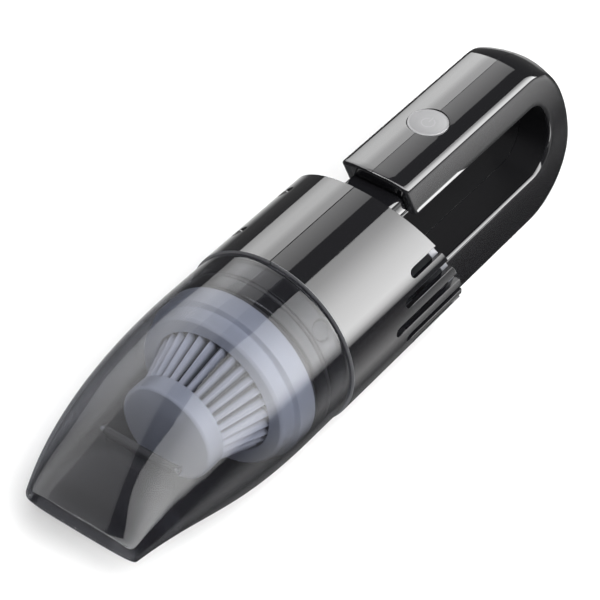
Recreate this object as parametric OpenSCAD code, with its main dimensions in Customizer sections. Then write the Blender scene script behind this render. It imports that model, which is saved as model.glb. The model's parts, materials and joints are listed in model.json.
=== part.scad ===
// Handheld vacuum: a cylindrical motor casing with a loop handle, and a see-through
// dust cup that slides over the casing's spigot and holds a pleated cone filter.
// Millimetres, +Z up, mouth towards -Y, standing on the flat underside of the handle.

/* [Casing] */
// Radius of the motor casing
body_r = 37.5; // [37:0.1:38.5]
// Wall of the moulded shells
wall = 2.2; // [1.8:0.1:2.4]
// Length of the casing along its axis
body_len = 67.7; // [67:0.1:70]
// Slant of the casing's rear face, in degrees
rear_slant = 24; // [22:1:26]

/* [Vent slots] */
// Slots on each side
slot_count = 5; // [3:2:5]
// Width of one slot
slot_w = 4; // [3:0.1:5]
// Angle between neighbouring slots
slot_pitch = 12.8; // [12:0.1:14]
// Angle of the middle slot, measured from the top
slot_mid = 86.8; // [84:0.1:90]
// Front end of the middle slot
slot_front = 26.7; // [24:0.1:30]
// How much further back each next slot starts
slot_step = 7.55; // [6:0.05:8]

/* [Dust cup] */
// Distance from the seam to the mouth
cup_len = 107.2; // [106:0.1:112]
// Length of the cup's round rear part
cup_straight = 20; // [18:0.25:24]
// Wall of the cup
cup_wall = 1.8; // [1.6:0.1:2]
// Outer width of the mouth
mouth_w = 49.6; // [48:0.1:52]
// Outer height of the mouth
mouth_h = 7.6; // [7.4:0.1:9]
// Drop of the mouth's centre below the axis
mouth_drop = 6.7; // [6:0.1:7.5]

/* [Filter] */
// Pleats around the cone
pleats = 30; // [24:1:36]
// Depth of one pleat at the wide end
pleat_depth = 4.5; // [3.5:0.1:5]

/* [Handle] */
// Rearmost point of the loop, from the seam
handle_reach = 183.8; // [182:0.1:190]
// Width of the loop
handle_w = 30.2; // [29:0.1:32]
// Height of the upper arm at its edge
upper_arm = 17; // [16.5:0.1:18]
// Height of the lower arm
lower_arm = 24.1; // [23.5:0.1:25]
// Height of the axis above the resting face
axis_h = 45.4; // [45:0.1:47]
// Gap between the casing and the upper arm, filled by the neck
neck_len = 10.5; // [10:0.1:12]
// Width of the neck block
neck_w = 23; // [20:0.1:24]

/* [Button] */
// Centre of the button, from the seam
button_y = 99; // [96:0.1:104]
// Radius of the button
button_r = 8.05; // [7.5:0.05:8.5]

/* [Hidden] */
$fn = 64;

lean = tan(rear_slant);
bore_r = body_r - wall;
half_w = handle_w / 2;
arm_top = sqrt(body_r * body_r - half_w * half_w);
arm_under = arm_top - upper_arm;
floor_z = -axis_h;
low_top = floor_z + lower_arm;
edge_r = 1.6;
lead_z = 23;
lead_r = 4.5;
part_gap = 0.15;

// Cup and spigot
cup_r = body_r - 0.75;
cup_bore_r = cup_r - cup_wall;
spigot_r = cup_bore_r - 0.35;
spigot_bore_r = spigot_r - 2.4;
spigot_front = -17;
snap_angle = 50;
snap_y = -4.5;

// Filter, each y measured from the seam
ring_back = -18.9;
ring_step = -27.5;
ring_front = -35;
ring_r = cup_bore_r - 0.65;
cap_back = -52.9;
cap_front = -60.75;
cap_r = 19.7;
pleat_r = 25.5;
pleat_start = ring_front + 2;
pleat_end = cap_front + 2.4;
pleat_end_r = 16.8;

// Duct and flap
duct_front = -cup_len + 9;
duct_front_z = -4.6;
duct_back = -75.8;
duct_back_z = -3;
flap_axis = [-74.6, 3.9];
pin_r = 0.8;

// Motor and fan
fan_r = 27;
shaft_r = 1.5;
can_r = 13.5;
can_y = [3, 40];
armature_r = 9.7;
cell_r = 9.15;
cell_len = 65;
cell_y = 5.5;
cell_x = 9.35;
cell_z = -sqrt(25.3 * 25.3 - cell_x * cell_x);

// Screws: [y, z] of each, all driven from the left side
casing_screws = [[16, 26.5], [44, 26.5]];
handle_screws = [[76, 27], [150, 27], [166, -31], [95, -33]];
head_r = 2.5;
shank_r = 1.3;
casing_seat = 16;
handle_seat = 9;

shell_black = [0.03, 0.03, 0.035];
trim_grey = [0.35, 0.36, 0.38];
filter_blue = [0.66, 0.69, 0.76];
steel = [0.7, 0.71, 0.73];

// Handle loop
low_r = 26;
inner_r = 12;
grip = 15.6;
inner_y = handle_reach - grip;

// The loop's outer edge as [y, z], from the upper arm's front around the rear to the lower arm's front.
outer_edge = concat([[45, arm_top], [100, arm_top]],
    [for (i = [0:12]) cubic([147.4, arm_top], [165, arm_top], [handle_reach, 1.5], [handle_reach, floor_z + low_r], i / 12)],
    [for (i = [1:8]) [handle_reach - low_r, floor_z + low_r] + low_r * [cos(i * 11.25), -sin(i * 11.25)]],
    [[110, floor_z], [60, floor_z]]);

// The loop's inner edge, point for point with the outer edge.
inner_edge = concat([[45, arm_under], [100, arm_under]],
    [for (i = [0:12]) cubic([150, arm_under], [159, arm_under], [inner_y, 3], [inner_y, low_top + inner_r], i / 12)],
    [for (i = [1:8]) [inner_y - inner_r, low_top + inner_r] + inner_r * [cos(i * 11.25), -sin(i * 11.25)]],
    [[110, low_top], [60, low_top]]);

// Height of the round crown at x, for a loop of half width w.
function crown(x) = sqrt(body_r * body_r - x * x) - arm_top;

// How much of the crown is left at one station: all of it on top, none on the lower arm.
function crown_left(i) = i < 14 ? 1 : i > 21 ? 0 : (1 + cos((i - 14) * 180 / 8)) / 2;

// Direction across the loop at one station, from the inner edge to the outer edge.
function across(i) = (outer_edge[i] - inner_edge[i]) / norm(outer_edge[i] - inner_edge[i]);

// The crown's rearmost point.
loop_back = max([for (i = [0:len(outer_edge) - 1]) outer_edge[i].x + across(i).x * crown_left(i) * crown(0)]);

// The seam between cup and casing lies at seam_y, which centres the part on its origin.
seam_y = (cup_len - loop_back) / 2;

// ---- placing and basic shapes ----

// Moves geometry drawn about the seam's centre into the row frame.
module placed() translate([0, seam_y, axis_h]) children();

// A solid of revolution about the casing's axis; the profile is [radius, y].
module turned(profile, fn = 96) rotate([-90, 0, 0]) rotate_extrude($fn = fn) polygon(profile);

// A round bar along the casing's axis.
module bar_y(y0, y1, r, fn = 64) translate([0, y0, 0]) rotate([-90, 0, 0]) cylinder(h = y1 - y0, r = r, $fn = fn);

// A ring around the casing's axis.
module ring_y(y0, y1, r_in, r_out) turned([[r_in, y0], [r_out, y0], [r_out, y1], [r_in, y1]]);

// A round bar across the part at [y, z].
module bar_x(x0, x1, at, r, fn = 32) translate([x0, at.x, at.y]) rotate([0, 90, 0]) cylinder(h = x1 - x0, r = r, $fn = fn);

// An outline drawn in [y, z], made x0 to x1 wide.
module plate_x(x0, x1, outline) translate([x0, 0, 0]) rotate([90, 0, 90]) linear_extrude(x1 - x0) polygon(outline);

// Turns children about the axis so that +Z points a degrees from the top, clockwise from the front.
module at_angle(a) rotate([0, a, 0]) children();

// Keeps the half of children on one side of the middle plane; side is -1 or 1.
module half(side) intersection() {
    children();
    translate([side < 0 ? -60 : 0, -200, -100]) cube([60, 500, 200]);
}

// Everything behind a plane parallel to the casing's rear face, d from it along y.
module behind(d, reach = 120) plate_x(-60, 60,
    [[body_len + d - 60 * lean, 60], [reach, 60], [reach, -60], [body_len + d + 60 * lean, -60]]);

// The layer between two such planes.
module slab(d0, d1) plate_x(-60, 60, [[body_len + d0 - 60 * lean, 60], [body_len + d1 - 60 * lean, 60],
    [body_len + d1 + 60 * lean, -60], [body_len + d0 + 60 * lean, -60]]);

// Points of a rectangle with rounded corners, centred on the origin.
function rounded(w, h, r, n = 6) = [for (q = [0:3], i = [0:n])
    let (a = q * 90 + i * 90 / n, sx = (q == 0 || q == 3) ? 1 : -1, sy = q < 2 ? 1 : -1)
    [sx * (w / 2 - r) + r * cos(a), sy * (h / 2 - r) + r * sin(a)]];

// A point on a cubic curve with four control points.
function cubic(a, b, c, d, t) =
    pow(1 - t, 3) * a + 3 * pow(1 - t, 2) * t * b + 3 * (1 - t) * t * t * c + pow(t, 3) * d;

// A wire through a list of points that lie nearly in one upright plane.
module wire(points, r) {
    last = len(points) - 1;
    loft([for (i = [0:last])
        let (v = points[min(i + 1, last)] - points[max(i - 1, 0)], side = cross(v / norm(v), [1, 0, 0]))
        [for (a = [0:45:315]) points[i] + r * cos(a) * [1, 0, 0] + r * sin(a) * side]]);
}

// A closed solid through a list of rings that all have the same number of points.
module loft(rings) {
    n = len(rings[0]);
    last = len(rings) - 1;
    sides = [for (j = [0:last - 1], i = [0:n - 1]) let (k = (i + 1) % n)
        each [[j * n + i, j * n + k, (j + 1) * n + k], [j * n + i, (j + 1) * n + k, (j + 1) * n + i]]];
    polyhedron([for (ring = rings) each ring], concat(sides,
        [[for (i = [n - 1:-1:0]) i]], [[for (i = [0:n - 1]) last * n + i]]));
}

// ---- casing ----

// One open-ended vent slot with a round front end.
module vent_slot(step) at_angle(slot_mid + slot_pitch * step) translate([0, slot_front + slot_step * abs(step), body_r]) {
    translate([0, slot_w / 2, 0]) cylinder(h = 12, d = slot_w, center = true, $fn = 24);
    translate([-slot_w / 2, slot_w / 2, -6]) cube([slot_w, 60, 12]);
}

module casing_half(side) difference() {
    union() {
        half(side) difference() {
            bar_y(part_gap, body_len + 30, body_r, 128);
            bar_y(-1, body_len + 40, bore_r, 128);
            behind(0);
        }
        for (at = casing_screws) intersection() {
            bar_y(part_gap, body_len, bore_r + 0.5, 128);
            bar_x(side < 0 ? -30 : 0, side < 0 ? 0 : 30, at, 3.4);
        }
    }
    half_slots = (slot_count - 1) / 2;
    for (step = [-half_slots:half_slots]) mirror([side < 0 ? 1 : 0, 0, 0]) vent_slot(step);
    for (at = casing_screws) screw_hole(side, at, casing_seat);
}

// The hole for one screw: stepped on the left half, blind on the right half.
module screw_hole(side, at, seat) {
    if (side < 0) {
        bar_x(-seat, 1, at, shank_r + 0.2);
        bar_x(-60, -seat, at, head_r + 0.3);
    }
    if (side > 0) bar_x(-1, 10, at, shank_r);
}

module casing_left() placed() color(shell_black) casing_half(-1);

module casing_right() placed() color(shell_black) casing_half(1);

module rear_cap() placed() color(trim_grey) difference() {
    intersection() {
        bar_y(0, body_len + 30, bore_r - 0.05, 128);
        union() {
            slab(-2.7, -0.2);
            difference() {
                slab(-4, -2.6);
                bar_y(0, body_len + 30, bore_r - 2.2);
            }
        }
    }
    translate([0, 0, lead_z]) bar_y(0, body_len + 30, lead_r);
}

module neck_block() placed() color(shell_black) difference() {
    intersection() {
        translate([0, 120, lead_z]) rotate([90, 0, 0]) linear_extrude(120) polygon(rounded(neck_w, 11, 3));
        slab(-0.2, neck_len);
    }
    translate([0, 0, lead_z]) bar_y(0, 120, lead_r);
}

// ---- handle ----

// One cross-section as [x, height above the inner edge], d inside the outside surface.
function section(i, d, high) = let (w = half_w - d, f = edge_r, c = crown_left(i)) d > 0 ?
    [[-1, d], [w, d], [w, high - d], [w / 2, high - d + c * crown(w / 2)], [-1, high - d + c * crown(0)]] :
    concat([[0, 0]],
        [for (a = [0:30:90]) [w - f + f * sin(a), f - f * cos(a)]],
        [for (a = [0:30:90]) [w - f + f * cos(a), high - f + f * sin(a) + c * crown(w - f) * sin(a)]],
        [for (x = [10.5, 7.5, 4, 0]) [x, high + c * crown(x)]]);

// The right half of the loop as one solid, d inside the outside surface.
module loop_solid(d) loft([for (i = [0:len(outer_edge) - 1])
    [for (p = section(i, d, norm(outer_edge[i] - inner_edge[i])))
        let (at = inner_edge[i] + across(i) * p.y) [p.x, at.x, at.y]]]);

// Everything in front of the two slanted faces where the arms end, d further back.
module arm_fronts(d) plate_x(-60, 60, [[-60, 60], [body_len + neck_len + d - 60 * lean, 60],
    [body_len + neck_len + d, 0], [body_len + d, 0], [body_len + d + 60 * lean, -60], [-60, -60]]);

module handle_half(side) mirror([side < 0 ? 1 : 0, 0, 0]) difference() {
    union() {
        difference() {
            loop_solid(0);
            arm_fronts(0.05);
            difference() {
                loop_solid(wall);
                arm_fronts(wall);
            }
        }
        for (at = handle_screws) bar_x(0, half_w - 1, at, 3.4);
    }
    for (at = handle_screws) mirror([side < 0 ? 1 : 0, 0, 0]) screw_hole(side, at, handle_seat);
    translate([0, button_y, 30]) cylinder(h = 12, r = button_r + 0.3, $fn = 64);
    translate([0, 0, lead_z]) bar_y(50, 90, lead_r);
    translate([-4.7, handle_reach - 4, floor_z + low_r - 1.85]) cube([9.4, 8, 3.7]);
}

module handle_left() placed() color(shell_black) handle_half(-1);

module handle_right() placed() color(shell_black) handle_half(1);

// ---- spigot and air path ----

module cup_spigot() placed() color(shell_black) difference() {
    turned([[spigot_bore_r, spigot_front], [spigot_r - 0.6, spigot_front], [spigot_r, spigot_front + 0.8],
        [spigot_r, -11.6], [spigot_r - 1.5, -11.6], [spigot_r - 1.5, -9.4], [spigot_r, -9.4], [spigot_r, part_gap],
        [bore_r - 0.05, part_gap + 0.2], [bore_r - 0.05, 5], [spigot_bore_r, 5]]);
    for (a = [-snap_angle, snap_angle, 180 - snap_angle, 180 + snap_angle])
        at_angle(a) translate([0, snap_y, spigot_r - 0.7]) cylinder(h = 2, r = 4, $fn = 32);
}

module spigot_ring() placed() color([0.08, 0.08, 0.08]) rotate([-90, 0, 0])
    rotate_extrude($fn = 96) translate([spigot_r - 0.75, -10.5]) circle(r = 0.74, $fn = 24);

module intake_grille() placed() color(trim_grey) {
    ring_y(-16.8, -15.1, 29.6, spigot_bore_r - 0.1);
    ring_y(-16.4, -15.1, 19.2, 20.8);
    ring_y(-16.4, -15.1, 9.2, 10.8);
    bar_y(-16.8, -15.1, 3);
    for (a = [0:30:330]) at_angle(a) translate([-0.7, -16.4, 2]) cube([1.4, 1.3, 28.5]);
}

module fan_shroud() placed() color(trim_grey) turned([[13.5, -15], [spigot_bore_r - 0.15, -15], [spigot_bore_r - 0.15, 4.5],
    [spigot_bore_r - 1.75, 4.5], [spigot_bore_r - 1.75, -13.6], [15, -13.6], [14.6, -12.9], [13.5, -13.2]]);

module diffuser_plate() placed() color(trim_grey) difference() {
    ring_y(1, 3, 4.8, spigot_bore_r - 1.8);
    for (a = [0:30:330]) at_angle(a) translate([-2.2, 0, 16.5]) cube([4.4, 4, 11]);
}

// One backward-curved fan blade.
module fan_blade() rotate([-90, 0, 0]) linear_extrude(9.6) polygon(concat(
    [for (t = [0:0.125:1]) (8 + 18.8 * t) * [cos(55 * t), sin(55 * t)]],
    [for (t = [1:-0.125:0]) (8 + 18.8 * t) * [cos(55 * t + 5 - 2.5 * t), sin(55 * t + 5 - 2.5 * t)]]));

module impeller() placed() color([0.75, 0.75, 0.72]) {
    difference() {
        turned([[0, -13], [3.5, -13], [8.2, -5.5], [9.5, -2.9], [fan_r, -2.9], [fan_r, -1.2], [5, -1.2], [5, 0.2], [0, 0.2]]);
        bar_y(-20, 5, shaft_r);
    }
    for (i = [0:8]) at_angle(i * 40) translate([0, -12.4, 0]) fan_blade();
}

// ---- motor ----

module motor_can() placed() color(steel) difference() {
    bar_y(can_y[0], can_y[1], can_r, 96);
    bar_y(can_y[0] + 4.2, can_y[1] - 4.2, can_r - 1, 96);
    for (y = [can_y[0] + 1.2, can_y[1] - 4.2]) bar_y(y, y + 3, 4);
    for (y = [can_y[0] + 1.2, can_y[1] - 4.2]) ring_y(y, y + 3, 5.4, can_r - 1);
    bar_y(0, 60, 2.4);
}

module motor_magnets() placed() color([0.2, 0.2, 0.22]) difference() {
    ring_y(9, 33, armature_r + 0.7, can_r - 1.05);
    for (a = [0, 180]) at_angle(a) translate([-3.5, 0, 0]) cube([7, 40, 20]);
}

// A ball bearing seen as one ring with a groove in each face.
module bearing(y) difference() {
    ring_y(y, y + 2.9, shaft_r + 0.03, 3.97);
    for (face = [y - 1, y + 2.6]) ring_y(face, face + 1.3, 2.4, 3.2);
}

module front_bearing() placed() color(steel) bearing(can_y[0] + 1.25);

module rear_bearing() placed() color(steel) bearing(can_y[1] - 4.15);

module armature() placed() color([0.6, 0.35, 0.15]) {
    difference() {
        bar_y(11, 31, armature_r);
        for (a = [0:72:288]) at_angle(a) translate([-0.9, 0, 4.5]) cube([1.8, 40, 8]);
        bar_y(0, 60, shaft_r);
    }
    ring_y(31, 34.6, shaft_r, 3.6);
}

module motor_shaft() placed() color(steel) bar_y(-12, 43.5, shaft_r);

module motor_damper() placed() color([0.1, 0.1, 0.1]) ring_y(29, 38, can_r + 0.02, can_r + 0.85);

module motor_cradle() placed() color(trim_grey) {
    ring_y(29.5, 37.5, can_r + 0.9, can_r + 2.4);
    for (a = [0, 82, -82]) at_angle(a) translate([-1, 30.5, can_r + 1.6]) cube([2, 6, bore_r - can_r - 1.9]);
}

// ---- power and control ----

module battery_cells() placed() color([0.15, 0.35, 0.6]) for (x = [-cell_x, cell_x]) translate([x, 0, cell_z]) {
    bar_y(cell_y, cell_y + cell_len - 1, cell_r);
    bar_y(cell_y + cell_len - 1.2, cell_y + cell_len, 3);
}

module battery_tray() placed() color(trim_grey) difference() {
    intersection() {
        bar_y(8, 66, bore_r - 0.1, 96);
        union() for (y = [8, 33, 58]) translate([-22, y, -36]) cube([44, 8, 16]);
    }
    for (x = [-cell_x, cell_x]) translate([x, 0, cell_z]) bar_y(0, 90, cell_r + 0.02);
}

module control_board() placed() color([0.1, 0.35, 0.2]) {
    difference() {
        translate([-10, 86, 21.5]) cube([20, 48, 1.6]);
        for (y = [90, 130]) translate([0, y, 20]) cylinder(h = 5, r = 1.5, $fn = 24);
    }
    for (at = [[-7, 106], [2, 108]]) translate([at.x, at.y, 23.1]) cube([5, 5, 1.4]);
    translate([-8, 115, 23.1]) cube([7, 7, 3.2]);
    for (x = [2, 7]) translate([x, 124, 23.1]) cylinder(h = 5.5, r = 2.2, $fn = 24);
}

module button_switch() placed() color([0.12, 0.12, 0.12]) {
    translate([-3, button_y - 3, 23.1]) cube([6, 6, 3.2]);
    translate([0, button_y, 26.3]) cylinder(h = 0.7, r = 1.7, $fn = 24);
}

module charging_port() placed() color(steel) translate([0, handle_reach - 1, floor_z + low_r]) {
    rotate([90, 0, 0]) difference() {
        linear_extrude(7.3) polygon(rounded(9, 3.3, 1.6));
        translate([0, 0, -1]) linear_extrude(7.3) polygon(rounded(8.2, 2.5, 1.2));
    }
    translate([-3.2, -7, -0.35]) cube([6.4, 6, 0.7]);
    translate([-5.5, -10, -2.7]) cube([11, 9, 1]);
}

// Motor, cell and charging leads, all routed to the front end of the control board.
module wire_leads() placed() color([0.6, 0.1, 0.1]) {
    for (s = [-1, 1]) {
        wire([[5 * s, 40.05, 0], [5 * s, 43, 0], [5 * s, 48, 8], [2.6 * s, 52, 20.5], [2.6 * s, 57, 22.2],
            [2.6 * s, 84, 22.2], [2.6 * s, 85.9, 22.2]], 0.7);
        wire([[8 * s, 67, -14.3], [8 * s, 67, -11], [7 * s, 62, -2], [3 * s, 55, 12], [1 * s, 51.5, 21],
            [1 * s, 56, 24.2], [1 * s, 84, 24.4], [1 * s, 86.5, 23.9]], 0.7);
        wire([[2 * s, 174.2, -21.05], [2 * s, 174.2, -18], [2 * s, 173, -5], [2 * s, 168, 12], [2 * s, 158, 21.3],
            [2 * s, 134.1, 22.3]], 0.6);
    }
}

// One screw lying across the part, its head's underside at x = -seat.
module screw(at, seat) {
    difference() {
        bar_x(-seat - 1.8, -seat, at, head_r);
        for (a = [0, 90]) translate([-seat - 1.2, at.x, at.y]) rotate([a, 0, 0])
            translate([-1.5, -1.6, -0.3]) cube([2, 3.2, 0.6]);
    }
    bar_x(-seat, 8, at, shank_r);
}

module case_screws() placed() color(steel) {
    for (at = casing_screws) screw(at, casing_seat);
    for (at = handle_screws) screw(at, handle_seat);
}

module power_button() placed() color([0.72, 0.73, 0.75]) translate([0, button_y, 0]) rotate_extrude($fn = 64)
    polygon([[0, 28.25], [2.5, 28.25], [2.5, 32.5], [9.2, 32.5], [9.2, 33.3], [button_r, 33.3],
        [button_r, 36.9], [button_r - 0.5, 37.35], [0, 37.35]]);

// ---- dust cup ----

nose_w = [34.1, 33.3];
nose_h = [31.5, 7.5];
nose_z = 2.7;
cup_power = 3.5;
cup_rings = 16;

// A point on a quartic curve that leaves its first value with no slope.
function nose(a, b, c, d, t) = pow(1 - t, 4) * a + 4 * pow(1 - t, 3) * t * a
    + 6 * pow(1 - t, 2) * t * t * b + 4 * (1 - t) * pow(t, 3) * c + pow(t, 4) * d;

// One ring of the cup: t is 0 where the nose starts and 1 at the mouth; d is the depth below the outside.
function cup_ring(t, d, y_shift = 0) = let (
    a = nose(cup_r, nose_w[0], nose_w[1], mouth_w / 2, t) - d,
    b = nose(cup_r, nose_h[0], nose_h[1], mouth_h / 2, t) - d,
    zc = nose(0, 0, nose_z, -mouth_drop, t),
    power = 2 / (2 + (cup_power - 2) * t * t),
    y = -cup_straight - (cup_len - cup_straight) * t + y_shift)
    [for (i = [0:59]) let (s = sin(i * 6), c = cos(i * 6), z = zc + b * sign(c) * pow(abs(c), power))
        [a * sign(s) * pow(abs(s), power), y, z]];

// A plain circle of the cup's rear part.
function cup_circle(r, y) = [for (i = [0:59]) [r * sin(i * 6), y, r * cos(i * 6)]];

module dust_cup() placed() color([0.3, 0.3, 0.33, 0.5]) difference() {
    loft(concat([cup_circle(cup_r, -part_gap)], [for (j = [0:cup_rings]) cup_ring(j / cup_rings, 0)]));
    loft(concat([cup_circle(cup_bore_r, 1)], [for (j = [0:cup_rings]) let (t = j / cup_rings) cup_ring(t, cup_wall - 0.7 * t)],
        [cup_ring(1, cup_wall - 0.7, -3)]));
}

// One ring of the duct: t is 0 at the mouth and 1 at the flap.
function duct_ring(t, d, y) = let (a = 22.5 - 6 * t - d, b = 3.6 + 1.4 * t - d, zc = duct_front_z + (duct_back_z - duct_front_z) * t)
    [for (i = [0:47]) let (s = sin(i * 7.5), c = cos(i * 7.5))
        [a * sign(s) * pow(abs(s), 0.6), y, zc + b * sign(c) * pow(abs(c), 0.6)]];

module inlet_duct() placed() color([0.25, 0.25, 0.28, 0.6]) difference() {
    union() {
        loft([duct_ring(1, 0, duct_back), duct_ring(0, 0, duct_front)]);
        for (x = [-17.2, 15.6]) translate([x, 0, 0]) {
            bar_x(0, 1.6, flap_axis, 2);
            translate([0, duct_back - 4, -3]) cube([1.6, 3.9, 6.9]);
            translate([0, duct_back - 0.2, 1.9]) cube([1.6, 1.4, 2]);
        }
    }
    loft([duct_ring(1.05, 0.8, duct_back + 1.5), duct_ring(-0.05, 0.8, duct_front - 1.5)]);
    bar_x(-30, 30, flap_axis, pin_r);
}

module flap_pin() placed() color(steel) bar_x(-17.2, 17.2, flap_axis, pin_r);

module dust_flap() placed() color([0.12, 0.12, 0.13]) difference() {
    union() {
        bar_x(-15.3, 15.3, flap_axis, 1.5);
        translate([-15, flap_axis.x - 0.8, flap_axis.y - 11.6]) cube([30, 1, 11]);
    }
    bar_x(-30, 30, flap_axis, pin_r + 0.05);
}

// ---- filter ----

module filter_ring() placed() color(filter_blue) turned([[30.8, ring_back], [ring_r, ring_back], [ring_r, ring_step],
    [31.8, ring_step - 0.6], [31.8, ring_front + 1], [30.8, ring_front], [pleat_r + 0.1, ring_front],
    [pleat_r + 0.1, pleat_start], [29.6, pleat_start], [30.8, pleat_start + 1.4]]);

module filter_cap() placed() color(filter_blue) turned([[0, cap_front], [cap_r - 0.8, cap_front], [cap_r, cap_front + 0.8],
    [cap_r, cap_back], [cap_r - 0.8, cap_back], [cap_r - 0.8, cap_front + 2.3], [0, cap_front + 2.3]]);

module filter_seal() placed() color([0.15, 0.15, 0.16]) ring_y(ring_back, spigot_front - 0.3, 31.2, 33.6);

// A star outline with one point a pleat.
function star(r) = [for (i = [0:2 * pleats - 1]) (r - (i % 2) * pleat_depth) * [cos(i * 180 / pleats), sin(i * 180 / pleats)]];

module filter_pleats() placed() color([0.62, 0.64, 0.68]) translate([0, pleat_start, 0]) rotate([90, 0, 0])
    linear_extrude(pleat_start - pleat_end, scale = pleat_end_r / pleat_r) difference() {
        polygon(star(pleat_r));
        polygon(star(pleat_r - 1.2));
    }

casing_left();
casing_right();
rear_cap();
neck_block();
handle_left();
handle_right();
cup_spigot();
spigot_ring();
intake_grille();
fan_shroud();
diffuser_plate();
motor_can();
motor_magnets();
front_bearing();
rear_bearing();
motor_damper();
motor_cradle();
battery_cells();
battery_tray();
control_board();
button_switch();
charging_port();
wire_leads();
case_screws();
impeller();
armature();
motor_shaft();
power_button();
dust_cup();
inlet_duct();
flap_pin();
dust_flap();
filter_ring();
filter_pleats();
filter_cap();
filter_seal();
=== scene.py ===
"""Looks of a handheld vacuum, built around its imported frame.

Lengths are millimetres about the seam between cup and casing, with +Y along the casing's axis towards the
handle and +Z up, until Datum.row turns them into metres in the frame.
"""
import json
import logging
from dataclasses import dataclass
from enum import Enum
from typing import ClassVar

import bmesh
import bpy
import numpy as np
from mathutils import Matrix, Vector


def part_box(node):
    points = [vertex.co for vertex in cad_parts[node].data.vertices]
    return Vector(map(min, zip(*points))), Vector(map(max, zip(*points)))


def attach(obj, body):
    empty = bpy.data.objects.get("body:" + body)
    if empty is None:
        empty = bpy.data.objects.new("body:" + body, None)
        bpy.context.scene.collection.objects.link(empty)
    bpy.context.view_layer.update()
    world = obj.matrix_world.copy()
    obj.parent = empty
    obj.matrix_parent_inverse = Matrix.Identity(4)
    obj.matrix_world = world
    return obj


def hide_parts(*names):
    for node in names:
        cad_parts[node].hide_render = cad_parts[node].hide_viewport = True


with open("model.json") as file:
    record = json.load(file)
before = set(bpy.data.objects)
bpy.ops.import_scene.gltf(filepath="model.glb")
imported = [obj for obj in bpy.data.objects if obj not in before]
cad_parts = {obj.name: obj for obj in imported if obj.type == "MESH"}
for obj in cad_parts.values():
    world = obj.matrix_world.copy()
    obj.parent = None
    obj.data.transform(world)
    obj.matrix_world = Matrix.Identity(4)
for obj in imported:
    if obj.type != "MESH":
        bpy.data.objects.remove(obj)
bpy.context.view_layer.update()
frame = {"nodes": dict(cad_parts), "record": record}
LOG = logging.getLogger("vacuum")
MM = 0.001

Array = np.ndarray
Object = bpy.types.Object
Material = bpy.types.Material
Triple = tuple[float, float, float]


# ---- where things are ----


@dataclass(frozen=True)
class Datum:
    """The seam's centre and the casing's radius, read from the frame, in millimetres."""

    seam_y: float
    axis_z: float
    radius: float

    @classmethod
    def from_frame(cls) -> "Datum":
        """Reads the datum from the casing's box, whose front end is 0.15 mm behind the seam."""
        low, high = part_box("casing_left")
        return cls(low.y / MM - 0.15, (low.z + high.z) / 2 / MM, (high.z - low.z) / 2 / MM)

    def row(self, points: Array) -> Array:
        """Returns points in metres in the row frame for points in millimetres about the seam."""
        return (points + np.array([0.0, self.seam_y, self.axis_z])) * MM


DATUM = Datum.from_frame()


@dataclass(frozen=True)
class Casing:
    """Sizes of the casing that several pieces share."""

    length: float = 67.7
    slant: float = float(np.tan(np.radians(24)))
    wall: float = 2.2

    def rear(self, z: Array) -> Array:
        """Returns y of the slanted rear plane at height z."""
        return self.length - self.slant * z


CASING = Casing()


# ---- meshes from arrays ----


def grid_faces(rows: int, cols: int, wrap_rows: bool = False, wrap_cols: bool = False) -> Array:
    """Quads of a grid of rows x cols points.

    Args:
        rows: Points along the first index.
        cols: Points along the second index.
        wrap_rows: Joins the last row to the first.
        wrap_cols: Joins the last column to the first.

    Returns:
        An (n, 4) array of point numbers.
    """
    i = np.arange(rows if wrap_rows else rows - 1)[:, None]
    j = np.arange(cols if wrap_cols else cols - 1)[None, :]
    nxt_i, nxt_j = (i + 1) % rows, (j + 1) % cols
    corners = [i * cols + j, i * cols + nxt_j, nxt_i * cols + nxt_j, nxt_i * cols + j]
    return np.stack(np.broadcast_arrays(*corners), axis=-1).reshape(-1, 4)


@dataclass
class Patch:
    """Points in millimetres about the seam, their faces, and a material number for all faces or for each."""

    points: Array
    faces: Array
    material: int | Array = 0

    @classmethod
    def grid(
        cls, points: Array, wrap_rows: bool = False, wrap_cols: bool = False, material: int | Array = 0
    ) -> "Patch":
        """Returns the patch of a (rows, cols, 3) array of points."""
        rows, cols = points.shape[:2]
        return cls(points.reshape(-1, 3), grid_faces(rows, cols, wrap_rows, wrap_cols), material)


def face_rows(mesh: bpy.types.Mesh) -> tuple[Array, Array]:
    """Returns each face's centre, in millimetres about the seam, and its normal."""
    centres, normals = np.empty((2, len(mesh.polygons) * 3))
    mesh.polygons.foreach_get("center", centres)
    mesh.polygons.foreach_get("normal", normals)
    return about_seam(centres), normals.reshape(-1, 3)


def about_seam(values: Array) -> Array:
    """Returns points in millimetres about the seam for a flat row of coordinates in metres."""
    return values.reshape(-1, 3) / MM - [0, DATUM.seam_y, DATUM.axis_z]


def points_inwards(mesh: bpy.types.Mesh) -> bool:
    """Returns whether a closed mesh's faces point inwards: its volume about the seam is then negative."""
    centres, normals = face_rows(mesh)
    areas = np.empty(len(mesh.polygons))
    mesh.polygons.foreach_get("area", areas)
    return bool(((centres * normals).sum(1) * areas).sum() < 0)


def paint_faces(mesh: bpy.types.Mesh, chosen: Array) -> None:
    """Gives the chosen faces the piece's second finish and the others its first."""
    mesh.polygons.foreach_set("material_index", chosen.astype(np.int32))


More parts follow.
